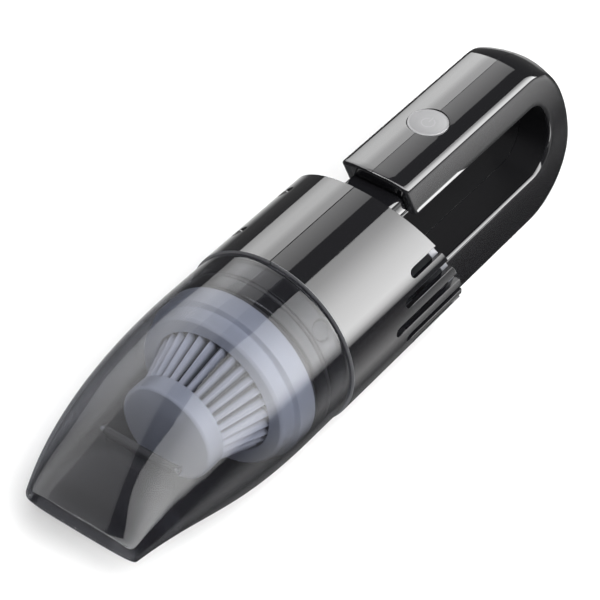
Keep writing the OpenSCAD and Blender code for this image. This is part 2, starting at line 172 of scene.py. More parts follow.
def mesh_object(name: str, patches: list[Patch], merge: float = 0.002) -> Object:
    """Makes one object of patches, with doubles merged and faces pointing outwards.

    Args:
        name: The object's name.
        patches: Its patches.
        merge: Distance in millimetres within which points become one.

    Returns:
        The new object, linked to the scene.
    """
    starts = np.cumsum([0] + [len(p.points) for p in patches])
    points = DATUM.row(np.concatenate([p.points for p in patches]))
    faces = [row for p, start in zip(patches, starts) for row in (p.faces + start).tolist()]
    mesh = bpy.data.meshes.new(name)
    mesh.from_pydata(points.tolist(), [], faces)
    paint_faces(mesh, np.concatenate([np.broadcast_to(p.material, len(p.faces)) for p in patches]))
    work = bmesh.new()
    work.from_mesh(mesh)
    bmesh.ops.remove_doubles(work, verts=work.verts, dist=merge * MM)
    bmesh.ops.dissolve_degenerate(work, edges=work.edges, dist=merge * MM / 4)
    bmesh.ops.recalc_face_normals(work, faces=work.faces)
    work.to_mesh(mesh)
    work.free()
    if points_inwards(mesh):
        mesh.flip_normals()
    mesh.shade_smooth()
    piece = bpy.data.objects.new(name, mesh)
    bpy.context.scene.collection.objects.link(piece)
    return piece


def turned(profile: Array, segments: int = 160, closed: bool = False, shear: bool = False) -> Array:
    """A surface of revolution about the casing's axis: x = r sin a, z = r cos a.

    Args:
        profile: (n, 2) array of radius and y.
        segments: Points round the axis.
        closed: Repeats the first profile point at the end.
        shear: Adds the slanted rear plane's y, so that y in the profile is measured from that plane.

    Returns:
        An (n, segments, 3) array.
    """
    if closed:
        profile = np.vstack([profile, profile[:1]])
    a = np.linspace(0, 2 * np.pi, segments, endpoint=False)
    r = profile[:, :1]
    z = r * np.cos(a)
    y = profile[:, 1:] + (CASING.rear(z) if shear else 0 * z)
    return np.stack([r * np.sin(a), y, z], axis=-1)


def rounded(corners: list[tuple[float, float]], radius: float, steps: int = 4, closed: bool = False) -> Array:
    """A polyline whose corners are replaced by arcs.

    Each corner becomes a quadratic curve between points at the same distance along its two sides, at most
    0.45 of the shorter side.

    Args:
        corners: The polyline's corners.
        radius: Distance from a corner to where its arc starts.
        steps: Pieces in one arc.
        closed: Rounds the first and last corners too.

    Returns:
        An (n, 2) array.
    """
    line = np.array(corners, float)
    before, after = np.roll(line, 1, axis=0), np.roll(line, -1, axis=0)
    t = np.linspace(0, 1, steps + 1)[:, None]
    out = []
    for i, (p, q, s) in enumerate(zip(before, line, after)):
        if not closed and i in (0, len(line) - 1):
            out.append(q[None])
            continue
        reach = min(radius, 0.45 * np.linalg.norm(p - q), 0.45 * np.linalg.norm(s - q))
        a = q + (p - q) / np.linalg.norm(p - q) * reach
        b = q + (s - q) / np.linalg.norm(s - q) * reach
        out.append((1 - t) ** 2 * a + 2 * t * (1 - t) * q + t**2 * b)
    return np.concatenate(out)


def refined(profile: Array, longest: float) -> Array:
    """Returns the profile with extra points, so that no side is longer than longest."""
    out = [profile[:1]]
    for a, b in zip(profile[:-1], profile[1:]):
        count = max(1, int(np.ceil(np.linalg.norm(b - a) / longest)))
        out.append(a + (b - a) * (np.arange(1, count + 1) / count)[:, None])
    return np.concatenate(out)


def flat_cap(ring: Array, material: int = 0) -> Patch:
    """Returns the one-face patch that closes a ring of points."""
    return Patch(ring, np.arange(len(ring))[None, :], material)


def closed_shell(outside: Array, inside: Array, faces: Array, material: Array) -> Patch:
    """Joins two skins that have the same faces along their open edges.

    Args:
        outside: (n, 3) points of the outer skin.
        inside: (n, 3) points of the inner skin, in the same order.
        faces: Quads of one skin.
        material: Material number of each of them on the outer skin; all other faces get 0.

    Returns:
        The closed patch: both skins, and one quad for each edge that only one face uses.
    """
    edges = np.stack([faces, np.roll(faces, -1, axis=1)], -1).reshape(-1, 2)
    _, place, count = np.unique(np.sort(edges, axis=1), axis=0, return_index=True, return_counts=True)
    a, b = edges[place[count == 1]].T
    shift = len(outside)
    rim = np.stack([b, a, a + shift, b + shift], -1)
    every = np.concatenate([faces, faces[:, ::-1] + shift, rim])
    return Patch(np.concatenate([outside, inside]), every, np.pad(material, (0, len(every) - len(faces))))


def local_points(piece: Object) -> Array:
    """Returns the piece's points in millimetres about the seam."""
    spots = np.empty(len(piece.data.vertices) * 3)
    piece.data.vertices.foreach_get("co", spots)
    return about_seam(spots)


def store(piece: Object, name: str, values: Array) -> None:
    """Keeps one number for each point under a name that materials can read."""
    layer = piece.data.attributes.new(name, "FLOAT", "POINT")
    layer.data.foreach_set("value", values.astype(np.float32))


def add_bevel(piece: Object, width: float, segments: int = 3, angle: float = 35.0) -> None:
    """Rounds a piece's edges.

    Args:
        piece: The piece.
        width: Width of the rounding in millimetres.
        segments: Faces across the rounding.
        angle: Edges sharper than this many degrees are rounded.
    """
    mod = piece.modifiers.new("bevel", "BEVEL")
    mod.width = width * MM
    mod.segments = segments
    mod.limit_method = "ANGLE"
    mod.angle_limit = np.radians(angle)
    mod.harden_normals = True
    mod.use_clamp_overlap = True
    mod.miter_outer = "MITER_ARC"


def add_wall(piece: Object, thickness: float) -> None:
    """Gives an open skin a wall of thickness millimetres on its inner side."""
    mod = piece.modifiers.new("wall", "SOLIDIFY")
    mod.thickness = thickness * MM
    mod.offset = -1
    mod.use_even_offset = True
    mod.use_quality_normals = True


def apply_modifiers(piece: Object) -> None:
    """Bakes a piece's modifiers into its mesh."""
    graph = bpy.context.evaluated_depsgraph_get()
    mesh = bpy.data.meshes.new_from_object(piece.evaluated_get(graph))
    piece.modifiers.clear()
    piece.data = mesh


def cut_away(piece: Object, cutters: list[Object]) -> None:
    """Takes the cutters' volume out of the piece and removes the cutters."""
    for cutter in cutters:
        mod = piece.modifiers.new("cut", "BOOLEAN")
        mod.operation = "DIFFERENCE"
        mod.solver = "EXACT"
        mod.object = cutter
    apply_modifiers(piece)
    for cutter in cutters:
        bpy.data.objects.remove(cutter)


def capped_bar(name: str, rings: Array) -> Object:
    """Makes a closed bar of (n, columns, 3) rings, with a flat face at each end."""
    return mesh_object(name, [Patch.grid(rings, wrap_cols=True), flat_cap(rings[0]), flat_cap(rings[-1])])


def turned_part(name: str, node: str, profile: Array, segments: int, **options: bool) -> None:
    """Makes the turned piece that stands for a CAD node.

    Args:
        name: The piece's name.
        node: The CAD node.
        profile: (n, 2) array of radius and y.
        segments: Points round the axis.
        options: Passed on to turned.
    """
    fit(mesh_object(name, [Patch.grid(turned(profile, segments, **options), wrap_cols=True)]), node)


def bar_across(name: str, x0: float, x1: float, y: float, z: float, radius: float) -> Object:
    """Returns a round bar along X from x0 to x1 at (y, z), used as a cutter."""
    a = np.linspace(0, 2 * np.pi, 40, endpoint=False)
    at_y, at_z = y + radius * np.cos(a), z + radius * np.sin(a)
    return capped_bar(name, np.stack([np.stack([np.full(40, x), at_y, at_z], -1) for x in (x0, x1)]))


# ---- shader maths ----


class Wire:
    """An output socket with arithmetic: each operator adds a Math node."""

    def __init__(self, shade: "Shade", socket: bpy.types.NodeSocket) -> None:
        """Wraps a socket of a shade."""
        self.shade = shade
        self.socket = socket

    def _math(self, operation: str, a: object, b: object = 0.0) -> "Wire":
        """Returns the result of one Math node."""
        return self.shade.node("ShaderNodeMath", {"operation": operation}, {0: a, 1: b})

    def __add__(self, other: object) -> "Wire":
        """Returns self + other."""
        return self._math("ADD", self, other)

    __radd__ = __add__

    def __sub__(self, other: object) -> "Wire":
        """Returns self - other."""
        return self._math("SUBTRACT", self, other)

    def __rsub__(self, other: object) -> "Wire":
        """Returns other - self."""
        return self._math("SUBTRACT", other, self)

    def __mul__(self, other: object) -> "Wire":
        """Returns self * other."""
        return self._math("MULTIPLY", self, other)

    __rmul__ = __mul__

    def __pow__(self, other: object) -> "Wire":
        """Returns self to the power other."""
        return self._math("POWER", self, other)

    def below(self, level: float) -> "Wire":
        """Returns 1 where self is less than level, else 0."""
        return self._math("LESS_THAN", self, level)

    def size(self) -> "Wire":
        """Returns the absolute value."""
        return self._math("ABSOLUTE", self)

    def step(self, low: float, high: float) -> "Wire":
        """Returns a smooth rise from 0 at low to 1 at high."""
        inputs = {"Value": self, "From Min": low, "From Max": high}
        return self.shade.node("ShaderNodeMapRange", {"interpolation_type": "SMOOTHSTEP"}, inputs)


class Shade:
    """A material's node tree, with one method that makes every kind of node."""

    def __init__(self, name: str) -> None:
        """Makes an empty node material."""
        self.material = bpy.data.materials.new(name)
        self.material.use_nodes = True
        self.tree = self.material.node_tree
        self.tree.nodes.clear()

    def node(
        self, kind: str, settings: dict | None = None, inputs: dict | None = None, output: int | str = 0
    ) -> Wire:
        """Adds a node.

        Args:
            kind: The node's type.
            settings: Its own settings, set first; "stops" are a ramp's places and colours.
            inputs: Values or wires by socket name or number.
            output: The output to return.

        Returns:
            The chosen output.
        """
        made = self.tree.nodes.new(kind)
        for key, value in (settings or {}).items():
            if key == "stops":
                self._set_stops(made.color_ramp, value)
            else:
                setattr(made, key, value)
        for key, value in (inputs or {}).items():
            if isinstance(value, Wire):
                self.tree.links.new(value.socket, made.inputs[key])
            else:
                made.inputs[key].default_value = value
        return Wire(self, made.outputs[output]) if made.outputs else Wire(self, None)

    @staticmethod
    def _set_stops(ramp: bpy.types.ColorRamp, stops: list[tuple[float, Triple]]) -> None:
        """Sets a ramp's stops."""
        for element, (place, colour) in ((ramp.elements[0], stops[0]), (ramp.elements[1], stops[-1])):
            element.position = place
            element.color = (*colour, 1)
        for place, colour in stops[1:-1]:
            ramp.elements.new(place).color = (*colour, 1)

    def place(self, scale: Triple = (1, 1, 1), centre: Array | None = None) -> Wire:
        """Returns object coordinates, moved to a centre in metres and scaled."""
        at = self.node("ShaderNodeTexCoord", output="Object")
        shift = [0.0, 0.0, 0.0] if centre is None else [-float(c) * s for c, s in zip(centre, scale)]
        return self.node("ShaderNodeMapping", {}, {"Vector": at, "Location": shift, "Scale": scale})

    def noise(self, scale: float, detail: float = 2.0, at: Wire | None = None) -> Wire:
        """Returns noise from 0 to 1 with features of about 1 / scale metres."""
        inputs = {"Vector": at or self.place(), "Scale": scale, "Detail": detail}
        return self.node("ShaderNodeTexNoise", {}, inputs)

    def bump(self, height: Wire, strength: float, distance: float) -> Wire:
        """Returns normals raised by height, distance metres at 1."""
        return self.node("ShaderNodeBump", {}, {"Height": height, "Strength": strength, "Distance": distance})

    def blend(self, factor: Wire | float, a: object, b: object) -> Wire:
        """Returns the colour between a and b."""
        settings = {"data_type": "RGBA", "clamp_factor": True}
        return self.node("ShaderNodeMix", settings, {0: factor, 6: a, 7: b}, output=2)

    def shader(self, inputs: dict) -> Wire:
        """Returns a Principled shader."""
        return self.node("ShaderNodeBsdfPrincipled", {}, inputs)

    def surface(self, inputs: dict) -> Material:
        """Returns the finished material of one Principled shader."""
        return self.close(self.shader(inputs))

    def close(self, surface: Wire) -> Material:
        """Links the surface to the output and returns the material."""
        self.node("ShaderNodeOutputMaterial", {}, {"Surface": surface})
        return self.material


def rgba(colour: Triple) -> tuple[float, float, float, float]:
    """Returns the colour with full alpha."""
    return (*colour, 1.0)


def shifted(colour: Triple, factor: float) -> tuple[float, float, float, float]:
    """Returns the colour multiplied by factor, with full alpha."""
    return rgba(tuple(min(1.0, c * factor) for c in colour))


@dataclass(frozen=True)
class Finish:
    """A finish: a frozen recipe that builds its material once."""

    name: str
    built: ClassVar[dict[str, Material]] = {}

    def material(self) -> Material:
        """Returns the finish's material, built at its first use."""
        if self.name not in self.built:
            self.built[self.name] = self.build(Shade(self.name))
        return self.built[self.name]

    def build(self, shade: Shade) -> Material:
        """Returns the material made in shade."""
        raise NotImplementedError


@dataclass(frozen=True)
class Moulded(Finish):
    """Moulded plastic: faint mottling, smudges and hairlines in the gloss, and a fine grain."""

    colour: Triple = (0.01, 0.01, 0.011)
    roughness: float = 0.3
    smudge: float = 0.1
    grain: float = 0.00002
    grain_scale: float = 2500.0
    mottle: float = 0.12
    ior: float = 1.5

    def build(self, shade: Shade) -> Material:
        """Returns the material made in shade."""
        cloud = shade.noise(38, 3)
        fine = shade.noise(self.grain_scale, 2)
        hairs = shade.noise(160, 3, shade.place((14, 0.5, 9))).step(0.64, 0.7)
        dark, light = (shifted(self.colour, 1 + way * self.mottle) for way in (-1, 1))
        colour = shade.blend(cloud, dark, light)
        rough = self.roughness + self.smudge * (cloud.step(0.45, 0.75) + 0.5 * hairs)
        normal = shade.bump(fine + 0.6 * hairs, 0.5, self.grain)
        return shade.surface({"Base Color": colour, "Roughness": rough, "Normal": normal, "IOR": self.ior})


@dataclass(frozen=True)
class ClearPlastic(Finish):
    """Smoky see-through plastic: light passes straight through, less at a slant, under a gloss.

    Points stored as "under", from -1 at a piece's top to 1 at its bottom, darken its lower side as painted
    shade.
    A wall seen from behind, through the piece's hollow, holds more light back.
    """

    tint: Triple = (0.8, 0.81, 0.84)
    body: Triple = (0.01, 0.01, 0.012)
    hold: float = 0.42
    slant_hold: float = 0.5
    painted_underside_shade: float = 0.5
    far_hold: float = 0.06
    ior: float = 1.55
    roughness: float = 0.03

    def build(self, shade: Shade) -> Material:
        """Returns the material made in shade."""
        slant = shade.node("ShaderNodeLayerWeight", {}, {"Blend": 0.5}, output="Facing")
        # under rises towards the piece's bottom and drives painted shade on its lower side.
        under = shade.node("ShaderNodeAttribute", {"attribute_name": "under"}, output="Fac").step(0.05, 0.6)
        far = shade.node("ShaderNodeNewGeometry", output="Backfacing")
        cloud = shade.noise(30, 3)
        gloss = shade.shader({
            "Base Color": shade.blend(cloud, rgba(self.body), shifted(self.body, 1.6)),
            "Roughness": self.roughness + 0.03 * cloud.step(0.5, 0.8),
            "IOR": self.ior,
        })
        clear = shade.node("ShaderNodeBsdfTransparent", {}, {"Color": rgba(self.tint)})
        # painted_underside_shade holds more light back on the lower side: painted shade.
        hold = self.hold + self.slant_hold * slant**3 + self.painted_underside_shade * under + self.far_hold * far
        return shade.close(shade.node("ShaderNodeMixShader", {}, {0: hold, 1: clear, 2: gloss}))


@dataclass(frozen=True)
class FilterSheet(Finish):
    """Pleated filter sheet: matted fibres, dust, and painted shade in the valleys between its stored ridges.
    """

    colour: Triple = (0.74, 0.77, 0.87)

    def build(self, shade: Shade) -> Material:
        """Returns the material made in shade."""
        fibres = shade.noise(1400, 5, shade.place((1, 0.35, 1)))
        dust = shade.noise(70, 4).step(0.45, 0.8)
        ridge = shade.node("ShaderNodeAttribute", {"attribute_name": "ridge"}, output="Fac").step(0.1, 0.7)
        ridge_colour = shade.blend(0.25 * dust + 0.3 * fibres, rgba(self.colour), shifted(self.colour, 0.6))
        # Painted shade: the valleys, where the stored ridge value is low, are darkened to 0.08 of the sheet's
        # colour.
        colour = shade.blend(ridge, shifted(self.colour, 0.08), ridge_colour)
        normal = shade.bump(fibres, 0.6, 0.00012)
        return shade.surface({"Base Color": colour, "Roughness": 0.85 + 0.1 * fibres, "Normal": normal})


@dataclass(frozen=True)
class Metal(Finish):
    """Turned or drawn metal: fine rings or streaks in the roughness and the normals."""

    colour: Triple = (0.6, 0.61, 0.63)
    roughness: float = 0.28
    streak: Triple = (1, 30, 1)

    def build(self, shade: Shade) -> Material:
        """Returns the material made in shade."""
        streaks = shade.noise(220, 3, shade.place(self.streak))
        stain = shade.noise(90, 3).step(0.5, 0.85)
        colour = shade.blend(stain, rgba(self.colour), shifted(self.colour, 0.72))
        return shade.surface({
            "Base Color": colour, "Metallic": 1.0, "Roughness": self.roughness + 0.18 * streaks + 0.1 * stain,
            "Normal": shade.bump(streaks, 0.3, 0.00003),
        })


@dataclass(frozen=True)
class Winding(Finish):
    """Lacquered copper wire, wound in rows along the armature."""

    def build(self, shade: Shade) -> Material:
        """Returns the material made in shade."""
        inputs = {"Vector": shade.place(), "Scale": 420.0, "Distortion": 1.2, "Detail": 1.0}
        rows = shade.node("ShaderNodeTexWave", {"bands_direction": "X"}, inputs, output=1)
        colour = shade.blend(rows, (0.25, 0.08, 0.03, 1), (0.75, 0.33, 0.14, 1))
        return shade.surface({"Base Color": colour, "Metallic": 0.8, "Roughness": 0.3 + 0.2 * rows,
                              "Normal": shade.bump(rows, 0.8, 0.0002)})


@dataclass(frozen=True)
class CircuitBoard(Finish):
    """A circuit board's lacquer over copper tracks, with dark parts above the board's face."""

    face_z: float = 0.0686

    def build(self, shade: Shade) -> Material:
        """Returns the material made in shade."""
        inputs = {"Vector": shade.place(), "Scale": 420.0}
        cells = shade.node("ShaderNodeTexVoronoi", {"distance": "MANHATTAN"}, inputs)
        tracks = cells.step(0.34, 0.4)
        height = shade.node("ShaderNodeSeparateXYZ", {}, {0: shade.place()}, output="Z")
        part = 1 - height.below(self.face_z + 0.0002)
        green = shade.blend(tracks, (0.01, 0.09, 0.035, 1), (0.03, 0.2, 0.09, 1))
        colour = shade.blend(part, green, (0.02, 0.02, 0.022, 1))
        return shade.surface({"Base Color": colour, "Roughness": 0.3 + 0.2 * part,
                              "Normal": shade.bump(tracks, 0.3, 0.00005)})


@dataclass(frozen=True)
class ButtonCoat(Finish):
    """Satin silver coat with a generic power mark: a ring open at the top and a bar in the opening."""

    colour: Triple = (0.2, 0.2, 0.205)
    mark_radius: float = 0.0026
    mark_width: float = 0.00028
    gap_half: float = 0.0009
    bar_middle: float = 0.0021
    bar_half: float = 0.0016

    def build(self, shade: Shade) -> Material:
        """Returns the material made in shade."""
        low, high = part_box("power_button")
        at = shade.place(centre=np.array((low + high) / 2))
        x, y = (shade.node("ShaderNodeSeparateXYZ", {}, {0: at}, output=axis) for axis in ("X", "Y"))
        far = (x * x + y * y) ** 0.5
        gap = x.size().below(self.gap_half) * (0.0 - y).below(0.0)
        ring = (far - self.mark_radius).size().below(self.mark_width) * (1 - gap)
        bar = x.size().below(self.mark_width) * (y - self.bar_middle).size().below(self.bar_half)
        mark = ring + bar - ring * bar
        grain = shade.noise(5000, 2)
        colour = shade.blend(mark * 0.2, rgba(self.colour), (0.4, 0.4, 0.41, 1))
        return shade.surface({
            "Base Color": shade.blend(grain * 0.3, colour, shifted(self.colour, 0.8)),
            "Roughness": 0.32 + 0.1 * grain + 0.1 * mark,
            "Normal": shade.bump(grain - mark * 0.4, 0.25, 0.00003),
        })


@dataclass(frozen=True)
class Floor(Finish):
    """Plain pale floor."""

    def build(self, shade: Shade) -> Material:
        """Returns the material made in shade."""
        cloud = shade.noise(9, 2)
        colour = shade.blend(cloud, (0.94, 0.94, 0.94, 1), (0.96, 0.96, 0.96, 1))
        return shade.surface({"Base Color": colour, "Roughness": 0.9, "Specular IOR Level": 0.0})


class Finishes(Enum):
    """Every finish of the object."""

    SHELL = Moulded("shell_gloss_black", (0.006, 0.006, 0.007), 0.035, 0.02, 0.000002, 1800, 0.1, 1.5)
    # LOOP: painted shade, a darker and less glossy copy of the shell's black for the loop's inner faces.
    LOOP = Moulded("loop_inside_satin_and_shade", (0.003, 0.003, 0.0035), 0.6, 0.1, 0.00004, 3000, 0.15, 1.12)
    # EDGE: painted light, a grey given to the black casing's front edge so that it reads lighter through the
    # cup.
    EDGE = Moulded("shell_front_edge_painted_light", (0.12, 0.122, 0.13), 0.3, 0.1, 0.00003, 3000, 0.12)
    SATIN = Moulded("satin_black", (0.012, 0.012, 0.013), 0.3, 0.1, 0.00003, 3000, 0.15)
    TRIM = Moulded("grey_trim", (0.16, 0.165, 0.18), 0.38, 0.1, 0.00004, 3000, 0.08)
    FILTER = Moulded("filter_plastic", (0.56, 0.6, 0.7), 0.34, 0.08, 0.00002, 3500, 0.03)
    RUBBER = Moulded("black_rubber", (0.02, 0.02, 0.021), 0.6, 0.12, 0.00006, 2200, 0.2)
    # SLEEVE: painted shade, the cells' sleeves made near-black so that the casing looks dark inside through
    # the vents.
    SLEEVE = Moulded("cell_sleeve", (0.03, 0.032, 0.036), 0.22, 0.1, 0.00002, 900, 0.1)
    MAGNET = Moulded("magnet_grey", (0.07, 0.07, 0.08), 0.5, 0.12, 0.00008, 2600, 0.2)
    LEAD = Moulded("lead_insulation", (0.34, 0.02, 0.02), 0.4, 0.1, 0.00003, 2400, 0.12)
    CLEAR = ClearPlastic("smoky_clear")
    CLEAR_INSIDE = ClearPlastic(
        "smoky_clear_inside", (0.97, 0.97, 0.98), (0.01, 0.01, 0.012), 0.05, 0.3, 0.1, 0.0, 1.45, 0.08)
    DUCT = ClearPlastic("smoky_duct", (0.82, 0.83, 0.86), (0.02, 0.02, 0.022), 0.3, 0.3, 0.0, 0.1, 1.45, 0.12)
    SHEET = FilterSheet("filter_sheet")
    STEEL = Metal("turned_steel")
    FAN = Metal("turned_aluminium", (0.78, 0.79, 0.8), 0.22, (4, 4, 4))
    WINDING = Winding("copper_winding")
    BOARD = CircuitBoard("circuit_board")
    BUTTON = ButtonCoat("button_coat")


SLOT_FINISH = {
    "black_shell": Finishes.SHELL, "dark_plastic": Finishes.SATIN, "grey_trim": Finishes.TRIM,
    "smoke_clear": Finishes.CLEAR, "smoke_duct": Finishes.DUCT, "filter_plastic": Finishes.FILTER,
    "filter_media": Finishes.SHEET, "seal_rubber": Finishes.RUBBER, "steel": Finishes.STEEL,
    "magnet": Finishes.MAGNET, "fan_metal": Finishes.FAN, "copper": Finishes.WINDING,
    "cell_wrap": Finishes.SLEEVE, "board": Finishes.BOARD, "wire": Finishes.LEAD,
    "button_silver": Finishes.BUTTON,
}


def record_slot(node: str) -> str:
    """Returns the material slot that the record gives a CAD node."""
    return next(part["material_slot"] for part in frame["record"]["subparts"] if part["node"] == node)


def record_body(node: str) -> str:
    """Returns the body that holds a CAD node."""
    return next(body for body, nodes in frame["record"]["behaviour"]["bodies"].items() if node in nodes)


def fit(piece: Object, node: str, finishes: list[Finishes] | None = None) -> Object:
    """Puts a piece in place of a CAD node, on its body and with its finish.

    Args:
        piece: The new piece.
        node: The CAD node that it stands for.
        finishes: Its finishes by material number, or None for the slot's own.

    Returns:
        The piece.
    """
    for finish in finishes or [SLOT_FINISH[record_slot(node)]]:
        piece.data.materials.append(finish.value.material())
    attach(piece, record_body(node))
    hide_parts(node)
    LOG.info("%s stands for %s", piece.name, node)
    return piece


# ---- the casing ----


@dataclass(frozen=True)
class CasingShells:
    """The two halves of the motor casing: a comb-ended half tube, split along the top and the bottom."""

    slot_middle: float = 86.8
    slot_pitch: float = 12.8
    slot_count: int = 5
    slot_width: float = 4.0
    slot_front: float = 26.7
    slot_step: float = 7.55
    front: float = 0.15
    seam_gap: float = 0.17
    screw_y: tuple[float, float] = (16.0, 44.0)
    screw_z: float = 26.5

    def slots(self) -> list[tuple[float, float]]:
        """Returns each slot's angle from the top, in radians, and the y of its front end."""
        half = (self.slot_count - 1) // 2
        steps = np.arange(-half, half + 1)
        angles = np.radians(self.slot_middle + self.slot_pitch * steps)
        return list(zip(angles, self.slot_front + self.slot_step * np.abs(steps)))

    def strips(self) -> list[tuple[Array, Array, bool]]:
        """The skin's strips along the axis, each between two slot edges.

        Returns:
            For each strip its angles, the y where its common part ends, and whether it is a rib that runs
            on to the rear plane. In a slot that y follows the slot's half-round front end; on a rib it runs
            straight from one slot's edge to the next.
        """
        radius, half = DATUM.radius, self.slot_width / 2
        start = np.arcsin(self.seam_gap / radius)
        slots = self.slots()
        out = []
        left_angle, left_y = start, slots[0][1] + half
        for angle, front_y in slots:
            edge = half / radius
            count = max(5, int(np.degrees(angle - edge - left_angle) / 2) + 2)
            ribs = np.linspace(left_angle, angle - edge, count)
            out.append((ribs, np.linspace(left_y, front_y + half, len(ribs)), True))
            across = -np.cos(np.linspace(0, np.pi, 13)) * half
            round_end = half - np.sqrt(np.maximum(half**2 - across**2, 0))
            out.append((angle + across / radius, front_y + round_end, False))
            left_angle, left_y = angle + edge, front_y + half
        ribs = np.linspace(left_angle, np.pi - start, 34)
        out.append((ribs, np.full(len(ribs), left_y), True))
        return out

    def skin(self, name: str, side: int) -> Object:
        """Builds one half's outer skin: x = R sin a, z = R cos a, with y between each strip's two ends."""
        radius, patches = DATUM.radius, []
        for angles, common_y, is_rib in self.strips():
            ends = [(np.full(len(angles), self.front), common_y, 16)]
            if is_rib:
                ends.append((common_y, CASING.rear(radius * np.cos(angles)), 12))
            for y0, y1, rows in ends:
                t = np.linspace(0, 1, rows)[:, None]
                y = y0 + (y1 - y0) * t
                x = side * radius * np.sin(angles) + 0 * y
                patches.append(Patch.grid(np.stack([x, y, radius * np.cos(angles) + 0 * y], axis=-1)))
        return mesh_object(name, patches)

    def mark_front(self, piece: Object) -> None:
        """Gives the front edge, seen through the cup, the second finish, a grey of painted light: faces there
        that look forwards.
        """
        centre, normal = face_rows(piece.data)
        paint_faces(piece.data, (centre[:, 1] < self.front + 0.2) & (normal[:, 1] < -0.7))

    def build(self) -> None:
        """Builds both halves, with the screw recesses in the left one."""
        for node, side in (("casing_left", -1), ("casing_right", 1)):
            piece = self.skin(f"{node}_shell", side)
            add_wall(piece, CASING.wall)
            if side < 0:
                cut_away(piece, [bar_across("recess", -60, -16, y, self.screw_z, 2.8) for y in self.screw_y])
            else:
                apply_modifiers(piece)
            self.mark_front(piece)
            add_bevel(piece, 0.2, 3, 40)
            fit(piece, node, [Finishes.SHELL, Finishes.EDGE])


@dataclass(frozen=True)
class RearCap:
    """The slanted plate that closes the casing, with the flange seen inside the slots' ends."""

    rim: float = 35.2
    flange_in: float = 33.1

    def build(self) -> None:
        """Builds the cap: a turned profile whose y is measured from the slanted rear plane."""
        corners = [(0, -0.2), (24, -0.2), (25, -0.6), (30, -0.6), (31, -0.2), (self.rim, -0.2),
                   (self.rim, -4), (self.flange_in, -4), (self.flange_in, -2.7), (0, -2.7)]
        profile = refined(rounded(corners, 0.35, 3), 4.0)
        turned_part("rear_cap_plate", "rear_cap", profile, 192, shear=True)


@dataclass(frozen=True)
class Neck:
    """The rounded block between the casing's rear face and the upper arm."""

    width: float = 23.0
    height: float = 11.0
    corner: float = 3.0
    middle_z: float = 23.0
    gap: float = 10.5

    def build(self) -> None:
        """Builds the block: a rounded rectangle carried between the two slanted planes."""
        half_w, half_h = self.width / 2, self.height / 2
        box = [(-half_w, -half_h), (half_w, -half_h), (half_w, half_h), (-half_w, half_h)]
        outline = refined(rounded(box, self.corner, 8, closed=True), 1.5)
        x, z = outline[:, 0], outline[:, 1] + self.middle_z
        rings = np.stack([np.stack([x, CASING.rear(z) + d, z], -1) for d in np.linspace(-0.2, self.gap, 6)])
        piece = capped_bar("neck", rings)
        add_bevel(piece, 0.6, 3, 50)
        fit(piece, "neck_block")


# ---- the handle ----


def cubic(a: list[float], b: list[float], c: list[float], d: list[float], count: int) -> Array:
    """Returns count points of the cubic curve with control points a, b, c, d."""
    t = np.linspace(0, 1, count)[:, None]
    a, b, c, d = (np.array(p, float) for p in (a, b, c, d))
    return (1 - t) ** 3 * a + 3 * (1 - t) ** 2 * t * b + 3 * (1 - t) * t**2 * c + t**3 * d


